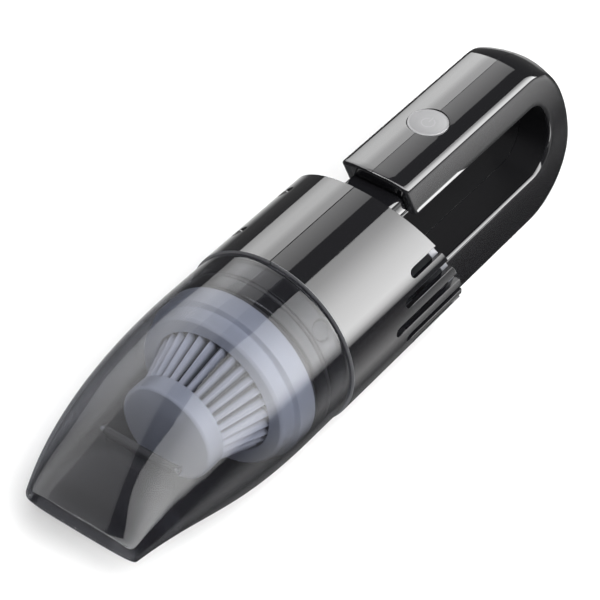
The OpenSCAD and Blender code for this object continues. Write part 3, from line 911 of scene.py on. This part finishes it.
@dataclass(frozen=True)
class Handle:
    """The loop handle: a band with an outer and an inner edge, crowned outside like the casing."""

    half_width: float = 15.1
    reach: float = 183.8
    grip: float = 15.6
    upper_arm: float = 17.0
    lower_arm: float = 24.1
    low_radius: float = 26.0
    inner_radius: float = 12.0
    neck_gap: float = 10.5
    button_y: float = 99.0
    hole_radius: float = 8.35
    patch_half: float = 12.0
    patch_rows: int = 16
    first_rows: int = 11
    fillet: float = 1.6
    middle: float = 0.1
    screws: tuple[tuple[float, float], ...] = ((76.0, 27.0), (150.0, 27.0), (166.0, -31.0), (95.0, -33.0))

    @property
    def top(self) -> float:
        """Returns the height of the upper arm's side edge."""
        return float(np.sqrt(DATUM.radius**2 - self.half_width**2))

    def edges(self) -> tuple[Array, Array, Array]:
        """The loop's outer and inner edges, station by station.

        Returns:
            Two (n, 2) arrays of y and z, and the share of the crown left at each station: 1 over the upper
            arm and the rear bend, then falling as half a cosine to 0 round the low rear corner.
        """
        top, under, floor = self.top, self.top - self.upper_arm, -DATUM.axis_z
        low_top, inner_y = floor + self.lower_arm, self.reach - self.grip
        arc = np.radians(np.linspace(0, 90, 28))[1:]
        turn = np.stack([np.cos(arc), -np.sin(arc)], -1)
        patch = self.button_y + np.linspace(-1, 1, self.patch_rows + 1) * self.patch_half
        start = CASING.length + self.neck_gap + 0.05 + self.fillet - CASING.slant * np.array([top, under])
        runs = [
            np.concatenate([np.linspace(y, patch[0], self.first_rows + 1)[:-1], patch,
                            np.linspace(patch[-1], last, 12)[1:-1]])
            for y, last in zip(start, (147.4, 150.0))
        ]
        outer = np.concatenate([
            np.stack([runs[0], np.full(len(runs[0]), top)], -1),
            cubic([147.4, top], [165, top], [self.reach, 1.5], [self.reach, floor + self.low_radius], 44),
            [self.reach - self.low_radius, floor + self.low_radius] + self.low_radius * turn,
        ])
        inner = np.concatenate([
            np.stack([runs[1], np.full(len(runs[1]), under)], -1),
            cubic([150, under], [159, under], [inner_y, 3], [inner_y, low_top + self.inner_radius], 44),
            [inner_y - self.inner_radius, low_top + self.inner_radius] + self.inner_radius * turn,
        ])
        ends = np.linspace(0, 1, 14)[1:, None]
        outer, inner = (
            np.concatenate([edge, edge[-1] + ([CASING.rear(z) + 0.55, z] - edge[-1]) * ends])
            for edge, z in ((outer, floor), (inner, low_top))
        )
        crown = np.ones(len(outer))
        bend = len(runs[0]) + 44
        crown[bend:bend + 27] = (1 + np.cos(np.pi * np.arange(1, 28) / 27)) / 2
        crown[bend + 27:] = 0
        return outer, inner, crown

    def section(self, height: Array, crown: Array, inset: float, wall: float) -> tuple[Array, Array]:
        """Sections from the middle of the inner edge, round the side, to the middle of the crown.

        A section is a rectangle with filleted corners plus the casing circle's rise over its side edge. On
        the inner skin the same columns are moved in by the wall, so the fillets' columns meet in a corner.

        Args:
            height: Height of the side at each station.
            crown: Share of the crown at each station.
            inset: How far the outline is drawn in.
            wall: Thickness of the wall, 0 on the outer skin.

        Returns:
            x and height above the inner edge, both (stations, columns).
        """
        w, f = self.half_width - inset, max(self.fillet - inset, 0.0)
        turn = np.radians(np.linspace(0, 90, 7))
        h = height[:, None]
        base_x = np.concatenate([np.linspace(self.middle, w - f, 7)[:-1], w - f + f * np.sin(turn)])
        base_s = np.concatenate([np.full(6, inset), inset + f - f * np.cos(turn)])
        side = np.linspace(0, 1, 8)[1:-1]
        crown_x = np.linspace(min(self.patch_half, w - f), self.middle, 9)
        top_x = np.concatenate([w - f + f * np.cos(turn), crown_x])
        lift = np.concatenate([f * np.sin(turn), np.full(9, f)])
        x = np.concatenate([base_x, np.full(6, w), top_x])[None] + 0 * h
        x = np.minimum(x, self.half_width - max(wall, inset))
        circle = np.sqrt(DATUM.radius**2 - x**2) - self.top
        side_s = (inset + f) + side * (h - 2 * (inset + f))
        s = np.concatenate([base_s + 0 * h, side_s, h - inset - f + lift], axis=1)
        s = np.clip(s, wall, h - wall) if wall else s
        rise = np.zeros_like(s)
        share = np.concatenate([np.sin(turn), np.ones(9)]) if not wall else 1.0
        rise[:, -16:] = circle[:, -16:] * crown[:, None] * share
        return x, s + rise

    def grid(self, wall: float) -> Array:
        """One skin of the right half as a grid of stations and columns.

        Rows 0 and -1 lie on the middle line of the flat end faces; the next rows turn from those faces into
        the arms along quarter circles. All of them follow the slanted planes where the arms end.

        Args:
            wall: Depth of the skin below the outside.

        Returns:
            A (stations, columns, 3) array.
        """
        outer, inner, crown = self.edges()
        across = outer - inner
        straight = np.abs(across[:, 1]) > 0.9 * np.linalg.norm(across, axis=1)
        height = np.where(straight, np.abs(across[:, 1]), np.linalg.norm(across, axis=1))
        x, s = self.section(height, crown, 0.0, wall)
        at = inner[:, None, :] + (across / height[:, None])[:, None, :] * s[..., None]
        body = np.stack([x, at[..., 0], at[..., 1]], -1)
        turn = np.radians(np.linspace(0, 90, 6))
        front, rear = [], []
        ends = ((front, 0, 1, self.neck_gap, self.fillet), (rear, -1, -1, 0.0, 0.5))
        for rows, station, up, offset, f in ends:
            insets = [f + 0.4, *(f * (1 - np.sin(turn[:-1])))]
            depths = [0.0, *(f * (1 - np.cos(turn[:-1])))]
            for inset, depth in zip(insets, depths):
                x, s = self.section(height[[station]], crown[[station]], inset, wall)
                z = inner[station, 1] + up * s[0]
                rows.append(np.stack([x[0], CASING.rear(z) + offset + 0.05 + (wall or depth), z], -1))
            middle = rows[0].copy()
            middle[:, 0] = self.middle
            rows.insert(0, middle)
        return np.concatenate([np.array(front), body, np.array(rear[::-1])])

    def faces(self, rows: int, cols: int) -> tuple[Array, Array]:
        """The faces of a skin's grid, without the cells round the button hole.

        Args:
            rows: Rows of the grid.
            cols: Columns of the grid.

        Returns:
            The faces, and 1 for each that lies on the flat of the loop's inner side, else 0.
        """
        first = 7 + self.first_rows
        row, col = np.divmod(np.arange((rows - 1) * (cols - 1)), cols - 1)
        kept = ~((row >= first) & (row < first + self.patch_rows) & (col >= cols - 9))
        inner = (col < 6) & (row > 8) & (row < rows - 8)
        return grid_faces(rows, cols)[kept], inner[kept].astype(int)

    def button_rings(self, cells: Array, drop: float) -> Array:
        """Rings that blend the button hole's half circle into the border of the cells that they replace.

        Args:
            cells: The cells' points.
            drop: Depth of the skin below the outside.

        Returns:
            A (rings, points, 3) array.
        """
        border = np.concatenate([cells[0, ::-1], cells[1:-1, 0], cells[-1, :]])
        angle = np.linspace(-np.pi / 2, np.pi / 2, len(border))
        x = np.maximum(self.hole_radius * np.cos(angle), self.middle)
        hole = np.stack([x, self.button_y + self.hole_radius * np.sin(angle), 0 * x], -1)
        rings = hole + (border - hole) * np.linspace(0, 1, 7)[:, None, None] ** 0.8
        rings[..., 2] = np.sqrt(DATUM.radius**2 - rings[..., 0] ** 2) - drop
        return rings

    def shell(self, name: str, side: int) -> Object:
        """Builds one half as a closed shell: two skins with the same faces, joined along their open edges."""
        skins = []
        for wall in (0.0, CASING.wall):
            points = self.grid(wall)
            rows, cols = points.shape[:2]
            first = 7 + self.first_rows
            rings = self.button_rings(points[first:first + self.patch_rows + 1, cols - 9:], wall)
            skins.append(np.concatenate([points.reshape(-1, 3), rings.reshape(-1, 3)]) * [side, 1, 1])
        ring_faces = grid_faces(*rings.shape[:2]) + rows * cols
        border = np.arange(rows * cols).reshape(rows, cols)[first:first + self.patch_rows + 1, cols - 9:]
        border = np.concatenate([border[0, ::-1], border[1:-1, 0], border[-1, :]])
        same = np.arange(rows * cols + rings.shape[0] * rings.shape[1])
        same[rows * cols + (rings.shape[0] - 1) * rings.shape[1]:] = border
        faces, material = self.faces(rows, cols)
        material = np.pad(material, (0, len(ring_faces)))
        faces = same[np.concatenate([faces, ring_faces])]
        return mesh_object(name, [closed_shell(*skins, faces, material)])

    def socket_cutter(self) -> Object:
        """Returns the cutter of the charging socket's opening."""
        outline = rounded([(-4.7, -1.85), (4.7, -1.85), (4.7, 1.85), (-4.7, 1.85)], 1.6, 6, closed=True)
        z = outline[:, 1] + self.low_radius - DATUM.axis_z
        ends = (self.reach - 6, self.reach + 8)
        rings = np.stack([np.stack([outline[:, 0], np.full(len(z), y), z], -1) for y in ends])
        return capped_bar("socket_cut", rings)

    def build(self) -> None:
        """Builds both halves."""
        for node, side in (("handle_left", -1), ("handle_right", 1)):
            piece = self.shell(f"{node}_shell", side)
            cutters = [self.socket_cutter()]
            if side < 0:
                cutters += [bar_across("recess", -60, -9, y, z, 2.8) for y, z in self.screws]
            cut_away(piece, cutters)
            add_bevel(piece, 0.22, 2, 50)
            # The loop's inner faces take LOOP, whose darker black is painted shade.
            fit(piece, node, [Finishes.SHELL, Finishes.LOOP])


@dataclass(frozen=True)
class Button:
    """The power button: a dished cap over a retaining flange and a stem."""

    y: float = 99.0
    radius: float = 8.05
    top: float = 37.35

    def build(self) -> None:
        """Builds the button as a turned profile about its own upright axis."""
        r, top = self.radius, self.top
        corners = [(0, 28.25), (2.5, 28.25), (2.5, 32.5), (9.2, 32.5), (9.2, 33.3), (r, 33.3),
                   (r, top - 0.05), (r - 0.9, top), (r - 1.6, top - 0.12), (4, top - 0.32), (0, top - 0.36)]
        profile = rounded(corners, 0.5, 5)
        a = np.linspace(0, 2 * np.pi, 120, endpoint=False)
        far, z = profile[:, :1], profile[:, 1:]
        rings = np.stack([far * np.sin(a), self.y + far * np.cos(a), z + 0 * a], -1)
        fit(mesh_object("button_cap", [Patch.grid(rings, wrap_cols=True)]), "power_button")


# ---- the air path ----


@dataclass(frozen=True)
class Spigot:
    """The dark collar that the cup slides over, with four round snap dimples."""

    radius: float = 34.6
    bore: float = 32.2
    front: float = -17.0
    dimple: float = 1.1
    dimple_radius: float = 4.0
    dimple_y: float = -4.5
    dimple_angle: float = 50.0

    def build(self) -> None:
        """Builds the collar: a turned profile, pressed in by a rounded step at each dimple."""
        r = self.radius
        corners = [(self.bore, self.front), (r - 0.6, self.front), (r, self.front + 0.8), (r, -11.6),
                   (r - 1.5, -11.6), (r - 1.5, -9.4), (r, -9.4), (r, 0.15), (35.25, 0.35), (35.25, 5),
                   (self.bore, 5)]
        profile = refined(rounded(corners, 0.3, 3, closed=True), 0.5)
        points = turned(profile, 420, closed=True)
        outside = np.abs(profile[:, 0] - r) < 0.05
        outside = np.append(outside, outside[0])[:, None]
        angle = np.arctan2(points[..., 0], points[..., 2])
        for a in np.radians([base + way * self.dimple_angle for base in (0, 180) for way in (-1, 1)]):
            off = (angle - a + np.pi) % (2 * np.pi) - np.pi
            far = np.hypot(off * r, points[..., 1] - self.dimple_y)
            depth = self.dimple * np.clip((self.dimple_radius + 0.3 - far) / 0.6, 0, 1) * outside
            points[..., 0] -= depth * np.sin(angle)
            points[..., 2] -= depth * np.cos(angle)
        pressed = (np.hypot(points[..., 0], points[..., 2]) < r - 0.5) & outside
        cells = pressed[:-1] & pressed[1:]
        cells = (cells & np.roll(cells, -1, axis=1)).ravel().astype(int)
        collar = mesh_object("spigot_collar", [Patch.grid(points, wrap_cols=True, material=cells)])
        fit(collar, "cup_spigot", [Finishes.SHELL, Finishes.SATIN])


def softened(node: str, width: float, angle: float = 35.0) -> Object:
    """A copy of a CAD node with merged points, smooth curves and rounded edges.

    Args:
        node: The CAD node.
        width: Width of the rounding in millimetres.
        angle: Edges sharper than this are rounded.

    Returns:
        The piece that stands for the node.
    """
    mesh = frame["nodes"][node].data.copy()
    mesh.materials.clear()
    work = bmesh.new()
    work.from_mesh(mesh)
    bmesh.ops.remove_doubles(work, verts=work.verts, dist=1e-6)
    bmesh.ops.dissolve_limit(
        work, angle_limit=np.radians(0.5), verts=work.verts, edges=work.edges, delimit={"NORMAL"})
    work.to_mesh(mesh)
    work.free()
    mesh.shade_smooth()
    piece = bpy.data.objects.new(f"{node}_part", mesh)
    bpy.context.scene.collection.objects.link(piece)
    add_bevel(piece, width, 2, angle)
    return fit(piece, node)


# ---- the filter ----


@dataclass(frozen=True)
class Filter:
    """The filter: a stepped rear ring, a pleated cone and a flat front cap."""

    ring_radius: float = 34.3
    pleats: int = 30
    pleat_depth: float = 4.4
    wide_radius: float = 25.4
    narrow_radius: float = 16.9
    wide_y: float = -33.1
    narrow_y: float = -58.3
    sheet: float = 0.7

    def ring(self) -> None:
        """Builds the stepped ring."""
        r = self.ring_radius
        corners = [(30.8, -18.9), (r, -18.9), (r, -27.5), (31.8, -28.1), (31.8, -34), (30.8, -35),
                   (25.6, -35), (25.6, -33), (29.6, -33), (30.8, -31.6)]
        profile = rounded(corners, 0.45, 4, closed=True)
        turned_part("filter_ring_moulding", "filter_ring", profile, 200, closed=True)

    def cap(self) -> None:
        """Builds the cap."""
        corners = [(0, -60.75), (18.9, -60.75), (19.7, -59.95), (19.7, -52.9), (18.9, -52.9), (18.9, -58.45),
                   (0, -58.45)]
        turned_part("filter_cap_moulding", "filter_cap", rounded(corners, 0.5, 4), 160)

    def cone(self) -> None:
        """Builds the pleated cone: its radius swings between ridge and valley as a rounded triangle wave."""
        phase = np.linspace(0, 2 * np.pi * self.pleats, self.pleats * 16, endpoint=False)
        wave = np.arcsin(0.97 * np.cos(phase)) / np.arcsin(0.97)
        t = np.linspace(0, 1, 22)[:, None]
        ridge = self.wide_radius + (self.narrow_radius - self.wide_radius) * t
        depth = self.pleat_depth * ridge / self.wide_radius
        r = ridge - depth * (1 - wave) / 2
        a = phase / self.pleats
        y = self.wide_y + (self.narrow_y - self.wide_y) * t + 0 * r
        points = np.stack([r * np.sin(a), y, r * np.cos(a)], -1)
        piece = mesh_object("pleated_cone", [Patch.grid(points, wrap_cols=True)])
        spots = local_points(piece)
        share = (spots[:, 1] - self.wide_y) / (self.narrow_y - self.wide_y)
        top = self.wide_radius + (self.narrow_radius - self.wide_radius) * share
        far = np.hypot(spots[:, 0], spots[:, 2])
        # The ridge value, 0 in a valley and 1 on a ridge, drives the sheet's painted shade in the valleys.
        store(piece, "ridge", 1 - (top - far) / (self.pleat_depth * top / self.wide_radius))
        add_wall(piece, self.sheet)
        fit(piece, "filter_pleats")

    def build(self) -> None:
        """Builds the three pieces."""
        self.ring()
        self.cap()
        self.cone()


# ---- the dust cup ----


@dataclass(frozen=True)
class DustCup:
    """The see-through cup: round at the rear, pinched to a wide slot at the mouth."""

    radius: float = 36.75
    length: float = 107.2
    straight: float = 20.0
    wall: float = 1.8
    mouth_wall: float = 1.1
    mouth_width: float = 49.6
    mouth_height: float = 7.6
    mouth_drop: float = 6.7
    power: float = 3.5
    widths: tuple[float, float] = (34.1, 33.3)
    heights: tuple[float, float] = (31.5, 7.5)
    lift: float = 2.7
    columns: int = 240

    def share(self, y: Array) -> Array:
        """Returns how far along the nose each y lies: 0 up to its start, 1 at the mouth."""
        return np.clip((-y - self.straight) / (self.length - self.straight), 0, 1)

    @staticmethod
    def curve(a: float, b: float, c: float, d: float, t: Array) -> Array:
        """Returns the quartic curve with control values a, a, b, c, d."""
        u = 1 - t
        return u**4 * a + 4 * u**3 * t * a + 6 * u**2 * t**2 * b + 4 * u * t**3 * c + t**4 * d

    def rings(self, y: Array, depth: Array) -> Array:
        """Rings of the cup: superellipses whose half-axes, centre and power follow curves along the nose.

        Args:
            y: Distance of each ring from the seam, negative towards the mouth.
            depth: Depth of each ring below the outside.

        Returns:
            An (n, columns, 3) array.
        """
        t = self.share(y)[:, None]
        wide = self.curve(self.radius, *self.widths, self.mouth_width / 2, t) - depth[:, None]
        high = self.curve(self.radius, *self.heights, self.mouth_height / 2, t) - depth[:, None]
        middle = self.curve(0, 0, self.lift, -self.mouth_drop, t)
        exponent = 2 / (2 + (self.power - 2) * t**2)
        a = np.linspace(0, 2 * np.pi, self.columns, endpoint=False)
        x = wide * np.sign(np.sin(a)) * np.abs(np.sin(a)) ** exponent
        z = middle + high * np.sign(np.cos(a)) * np.abs(np.cos(a)) ** exponent
        return np.stack([x, y[:, None] + 0 * x, z], axis=-1)

    def path(self) -> tuple[Array, Array]:
        """Returns y and depth from the rear edge along the outside, round the lip and back inside."""
        lip = self.mouth_wall / 2
        nose = np.linspace(0, 1, 74)
        out_y = np.concatenate([[-0.45, -3], np.linspace(-8, -self.straight, 5)[:-1],
                                -self.straight - (self.length - self.straight - lip) * nose])
        turn = np.radians(np.linspace(0, 180, 9))[1:-1]
        lip_y = -(self.length - lip) - lip * np.sin(turn)
        lip_d = lip * (1 - np.cos(turn))
        in_y = out_y[::-1]
        t = self.share(in_y)
        in_d = self.wall - (self.wall - self.mouth_wall) * t
        rear_y, rear_d = np.array([-0.15, -0.15]), np.array([self.wall - 0.3, 0.3])
        y = np.concatenate([out_y, lip_y, in_y, rear_y])
        depth = np.concatenate([np.zeros(len(out_y)), lip_d, in_d, rear_d])
        return y, depth

    def build(self) -> None:
        """Builds the cup; its inward faces and its rear edge are clearer than its outside."""
        y, depth = self.path()
        patch = Patch.grid(self.rings(y, depth), wrap_rows=True, wrap_cols=True)
        piece = mesh_object("dust_cup_moulding", [patch])
        self.mark(piece)
        fit(piece, "dust_cup", [Finishes.CLEAR, Finishes.CLEAR_INSIDE])

    def mark(self, piece: Object) -> None:
        """Stores how far under each point lies and gives the faces that look inwards the inside's finish."""
        spots = local_points(piece)
        t = self.share(spots[:, 1])
        middle = self.curve(0, 0, self.lift, -self.mouth_drop, t)
        high = self.curve(self.radius, *self.heights, self.mouth_height / 2, t)
        # How far under each point lies drives the painted shade on the cup's lower side.
        store(piece, "under", (middle - spots[:, 2]) / high)
        centre, normal = face_rows(piece.data)
        centre[:, 2] -= self.curve(0, 0, self.lift, -self.mouth_drop, self.share(centre[:, 1]))
        inwards = centre[:, 0] * normal[:, 0] + centre[:, 2] * normal[:, 2] < -0.2
        paint_faces(piece.data, inwards | (normal[:, 1] > 0.7))


# ---- studio ----


def stand(obj: Object, side: Array, up: Array, back: Array, at: Array) -> None:
    """Links an object and places it at a point in metres, with its axes along side, up and back."""
    axes = np.column_stack([side, up, back, at])
    obj.matrix_world = Matrix([*axes.tolist(), [0, 0, 0, 1]])
    bpy.context.scene.collection.objects.link(obj)


@dataclass(frozen=True)
class Camera:
    """The camera: a long lens that looks down on the object from its front right."""

    azimuth: float = 36.777
    elevation: float = 42.94
    lens: float = 138.25
    distance: float = 842.03
    aim_right: float = 10.65
    aim_up: float = 13.73

    def build(self) -> None:
        """Builds the camera; it aims to the right of the seam's centre and above it, as seen from there."""
        a, e = np.radians([self.azimuth, self.elevation])
        back = np.array([np.sin(a) * np.cos(e), -np.cos(a) * np.cos(e), np.sin(e)])
        right = np.array([np.cos(a), np.sin(a), 0.0])
        up = np.cross(back, right)
        data = bpy.data.cameras.new("camera")
        data.lens = self.lens
        data.sensor_width = 36
        data.clip_start = 0.01
        camera = bpy.data.objects.new("camera", data)
        at = DATUM.row(self.distance * back + self.aim_right * right + self.aim_up * up)
        stand(camera, right, up, back, at)
        bpy.context.scene.camera = camera


def glow(name: str, points: Array, share: Array, stops: list[tuple[float, float]]) -> None:
    """Makes a studio panel that is seen only in reflections.

    Args:
        name: The panel's name.
        points: Its grid of points in millimetres.
        share: Place of each point across the panel, from 0 to 1.
        stops: Places across the panel and the brightness there.
    """
    panel = mesh_object(name, [Patch.grid(points)], 0.0)
    store(panel, "across", share.ravel())
    shade = Shade(name)
    across = shade.node("ShaderNodeAttribute", {"attribute_name": "across"}, output="Fac")
    top = max(level for _, level in stops)
    greys = [(at, (level / top,) * 3) for at, level in stops]
    ramp = shade.node("ShaderNodeValToRGB", {"stops": greys}, {0: across})
    lamp = shade.node("ShaderNodeEmission", {}, {"Color": ramp, "Strength": top})
    panel.data.materials.append(shade.close(lamp))
    panel.visible_camera = panel.visible_diffuse = panel.visible_shadow = panel.visible_transmission = False


@dataclass(frozen=True)
class SkyPanel:
    """A large softbox far above the object.

    At each latitude, measured from straight across the object towards its rear, it spans two longitudes,
    measured from straight up towards +X.
    """

    name: str
    outline: tuple[Triple, ...]
    stops: tuple[tuple[float, float], ...]
    distance: float = 4000.0

    def build(self) -> None:
        """Builds the panel."""
        lat, left, right = np.array(self.outline).T
        at = np.linspace(lat[0], lat[-1], 60)
        share = np.linspace(0, 1, 60)[None, :] + 0 * at[:, None]
        first, last = np.interp(at, lat, left)[:, None], np.interp(at, lat, right)[:, None]
        lon = np.radians(first * (1 - share) + last * share)
        at = np.radians(at)[:, None]
        way = np.stack([np.cos(at) * np.sin(lon), np.sin(at) + 0 * lon, np.cos(at) * np.cos(lon)], -1)
        glow(self.name, way * self.distance, share, list(self.stops))


@dataclass(frozen=True)
class FloorGlow:
    """What the object's sides see of the floor: dim beside it, brighter further out, then fading."""

    stops: tuple[tuple[float, float], ...]
    near: float = -300.0
    far: float = 420.0
    name: str = "floor_glow"
    lift: float = 0.05

    def build(self) -> None:
        """Builds the flat strip just above the floor."""
        first, last = self.stops[0][0], self.stops[-1][0]
        x = np.linspace(first, last, 60)[None, :]
        y = np.array([self.near, self.far])[:, None]
        points = np.stack([x + 0 * y, y + 0 * x, 0 * x + 0 * y - DATUM.axis_z - 0.1 + self.lift], -1)
        share = (points[..., 0] - first) / (last - first)
        glow(self.name, points, share, [((x - first) / (last - first), level) for x, level in self.stops])


@dataclass(frozen=True)
class SoftLight:
    """A large soft light that isn't seen in reflections."""

    name: str
    place: Triple
    size: float
    power: float

    def build(self) -> None:
        """Builds the light, aimed at the middle of the object."""
        data = bpy.data.lights.new(self.name, "AREA")
        data.shape = "DISK"
        data.size = self.size * MM
        data.energy = self.power
        light = bpy.data.objects.new(self.name, data)
        at = DATUM.row(np.array(self.place))
        back = at - DATUM.row(np.array([0.0, 20.0, 0.0]))
        back /= np.linalg.norm(back)
        side = np.cross([0.0, 1.0, 0.0], back)
        side /= np.linalg.norm(side)
        stand(light, side, np.cross(back, side), back, at)
        light.visible_glossy = False


@dataclass(frozen=True)
class Studio:
    """Floor, surroundings and lights."""

    floor_radius: float = 1500.0
    surround: float = 0.16
    panels: tuple[SkyPanel, ...] = (
        SkyPanel(
            "panel_right",
            ((-42, -36, -4), (-34, -28, 5), (-31, -22, 20), (-26, -14, 32), (-17, -7, 50), (1, 3, 75),
             (18, 11, 93), (27, 15, 102), (47, 14, 106), (60, 50, 110)),
            ((0, 5.2), (0.14, 6.5), (0.25, 8.4), (0.36, 10.3), (0.47, 11.9), (0.58, 12.7), (0.69, 13.1),
             (0.8, 13.4), (0.86, 11.0), (0.91, 8.0), (0.97, 3.5), (1, 1.0)),
        ),
        SkyPanel(
            "panel_left",
            ((-42, -60, -33), (-34, -58, -31), (-28, -60, -28), (-18, -58, -24), (0, -69, -14),
             (18, -74, -8), (36, -78, -9), (47, -80, -9)),
            ((0, 2.6), (0.08, 3.4), (0.22, 5.2), (0.37, 6.2), (0.51, 4.8), (0.645, 4.9), (0.66, 2.9),
             (0.8, 2.5), (1, 1.8)),
        ),
        SkyPanel("panel_front", ((-64, -62, -18), (-45, -52, -24)), ((0, 12), (1, 18))),
    )
    glows: tuple[FloorGlow, ...] = (
        FloorGlow((
            (-260, 0.16), (-199, 0.37), (-137, 0.73), (-104, 0.88), (-81, 0.65), (-60, 0.5), (-45, 0.3),
            (-30, 0.18), (18, 0.08), (24, 0.1), (29, 0.18), (36, 0.24), (42, 0.16), (47, 0.25), (55, 0.6),
            (60, 0.9), (67, 1.3), (76, 1.25), (86, 1.1), (106, 0.7), (144, 0.3), (190, 0.3),
        )),
        FloorGlow(((38, 0.2), (42, 5), (53, 7), (57, 0.5)), 122, 165, "floor_glow_loop", 0.09),
    )
    lights: tuple[SoftLight, ...] = (
        SoftLight("soft_right", (700, -300, 900), 900, 27.0),
        SoftLight("soft_left", (-700, -100, 800), 900, 6.0),
    )

    def floor(self) -> None:
        """Builds the round floor just under the object's lowest face."""
        a = np.linspace(0, 2 * np.pi, 96, endpoint=False)
        r = np.linspace(0, self.floor_radius, 8)[:, None]
        x, y = r * np.sin(a), 30 + r * np.cos(a)
        z = np.full_like(x, -DATUM.axis_z - 0.1)
        floor = mesh_object("floor", [Patch.grid(np.stack([x, y, z], -1), wrap_cols=True)])
        if floor.data.polygons[0].normal.z < 0:
            floor.data.flip_normals()
        floor.data.materials.append(Floor("pale_floor").material())
        floor.visible_glossy = False

    def world(self) -> None:
        """Makes the surroundings: white behind the object, dim in reflections."""
        world = bpy.data.worlds.new("studio")
        world.use_nodes = True
        tree = world.node_tree
        tree.nodes.clear()
        path = tree.nodes.new("ShaderNodeLightPath")
        mix = tree.nodes.new("ShaderNodeMixShader")
        out = tree.nodes.new("ShaderNodeOutputWorld")
        for number, level in ((1, self.surround), (2, 1.0)):
            glow = tree.nodes.new("ShaderNodeBackground")
            glow.inputs["Color"].default_value = (level, level, level, 1)
            tree.links.new(glow.outputs[0], mix.inputs[number])
        tree.links.new(path.outputs["Is Camera Ray"], mix.inputs[0])
        tree.links.new(mix.outputs[0], out.inputs["Surface"])
        bpy.context.scene.world = world

    def build(self) -> None:
        """Builds the studio."""
        bpy.context.scene.view_settings.view_transform = "Standard"
        bpy.context.scene.cycles.transparent_max_bounces = 32
        self.floor()
        self.world()
        Camera().build()
        for part in (*self.panels, *self.glows, *self.lights):
            part.build()


class Assembly:
    """The whole object."""

    kept_soft: ClassVar[dict[str, float]] = {
        "intake_grille": 0.2, "fan_shroud": 0.3, "impeller": 0.15, "case_screws": 0.12, "charging_port": 0.1,
        "motor_cradle": 0.2, "battery_cells": 0.4, "motor_can": 0.4, "diffuser_plate": 0.2,
        "inlet_duct": 0.15, "dust_flap": 0.15, "filter_seal": 0.3,
    }

    def dress_frame(self) -> None:
        """Gives every CAD node its slot's finish."""
        for node, piece in frame["nodes"].items():
            piece.data.materials.clear()
            piece.data.materials.append(SLOT_FINISH[record_slot(node)].value.material())
            LOG.info("%s dressed", node)

    def build(self) -> None:
        """Builds every piece in order."""
        self.dress_frame()
        for part in (CasingShells(), RearCap(), Neck(), Handle(), Button(), Spigot(), Filter(), DustCup()):
            part.build()
        for node, width in self.kept_soft.items():
            softened(node, width)


def main() -> None:
    """Builds the object and its studio."""
    logging.basicConfig(level=logging.INFO, format="%(name)s: %(message)s")
    Assembly().build()
    Studio().build()
    bpy.context.view_layer.update()


if __name__ == "__main__":
    main()
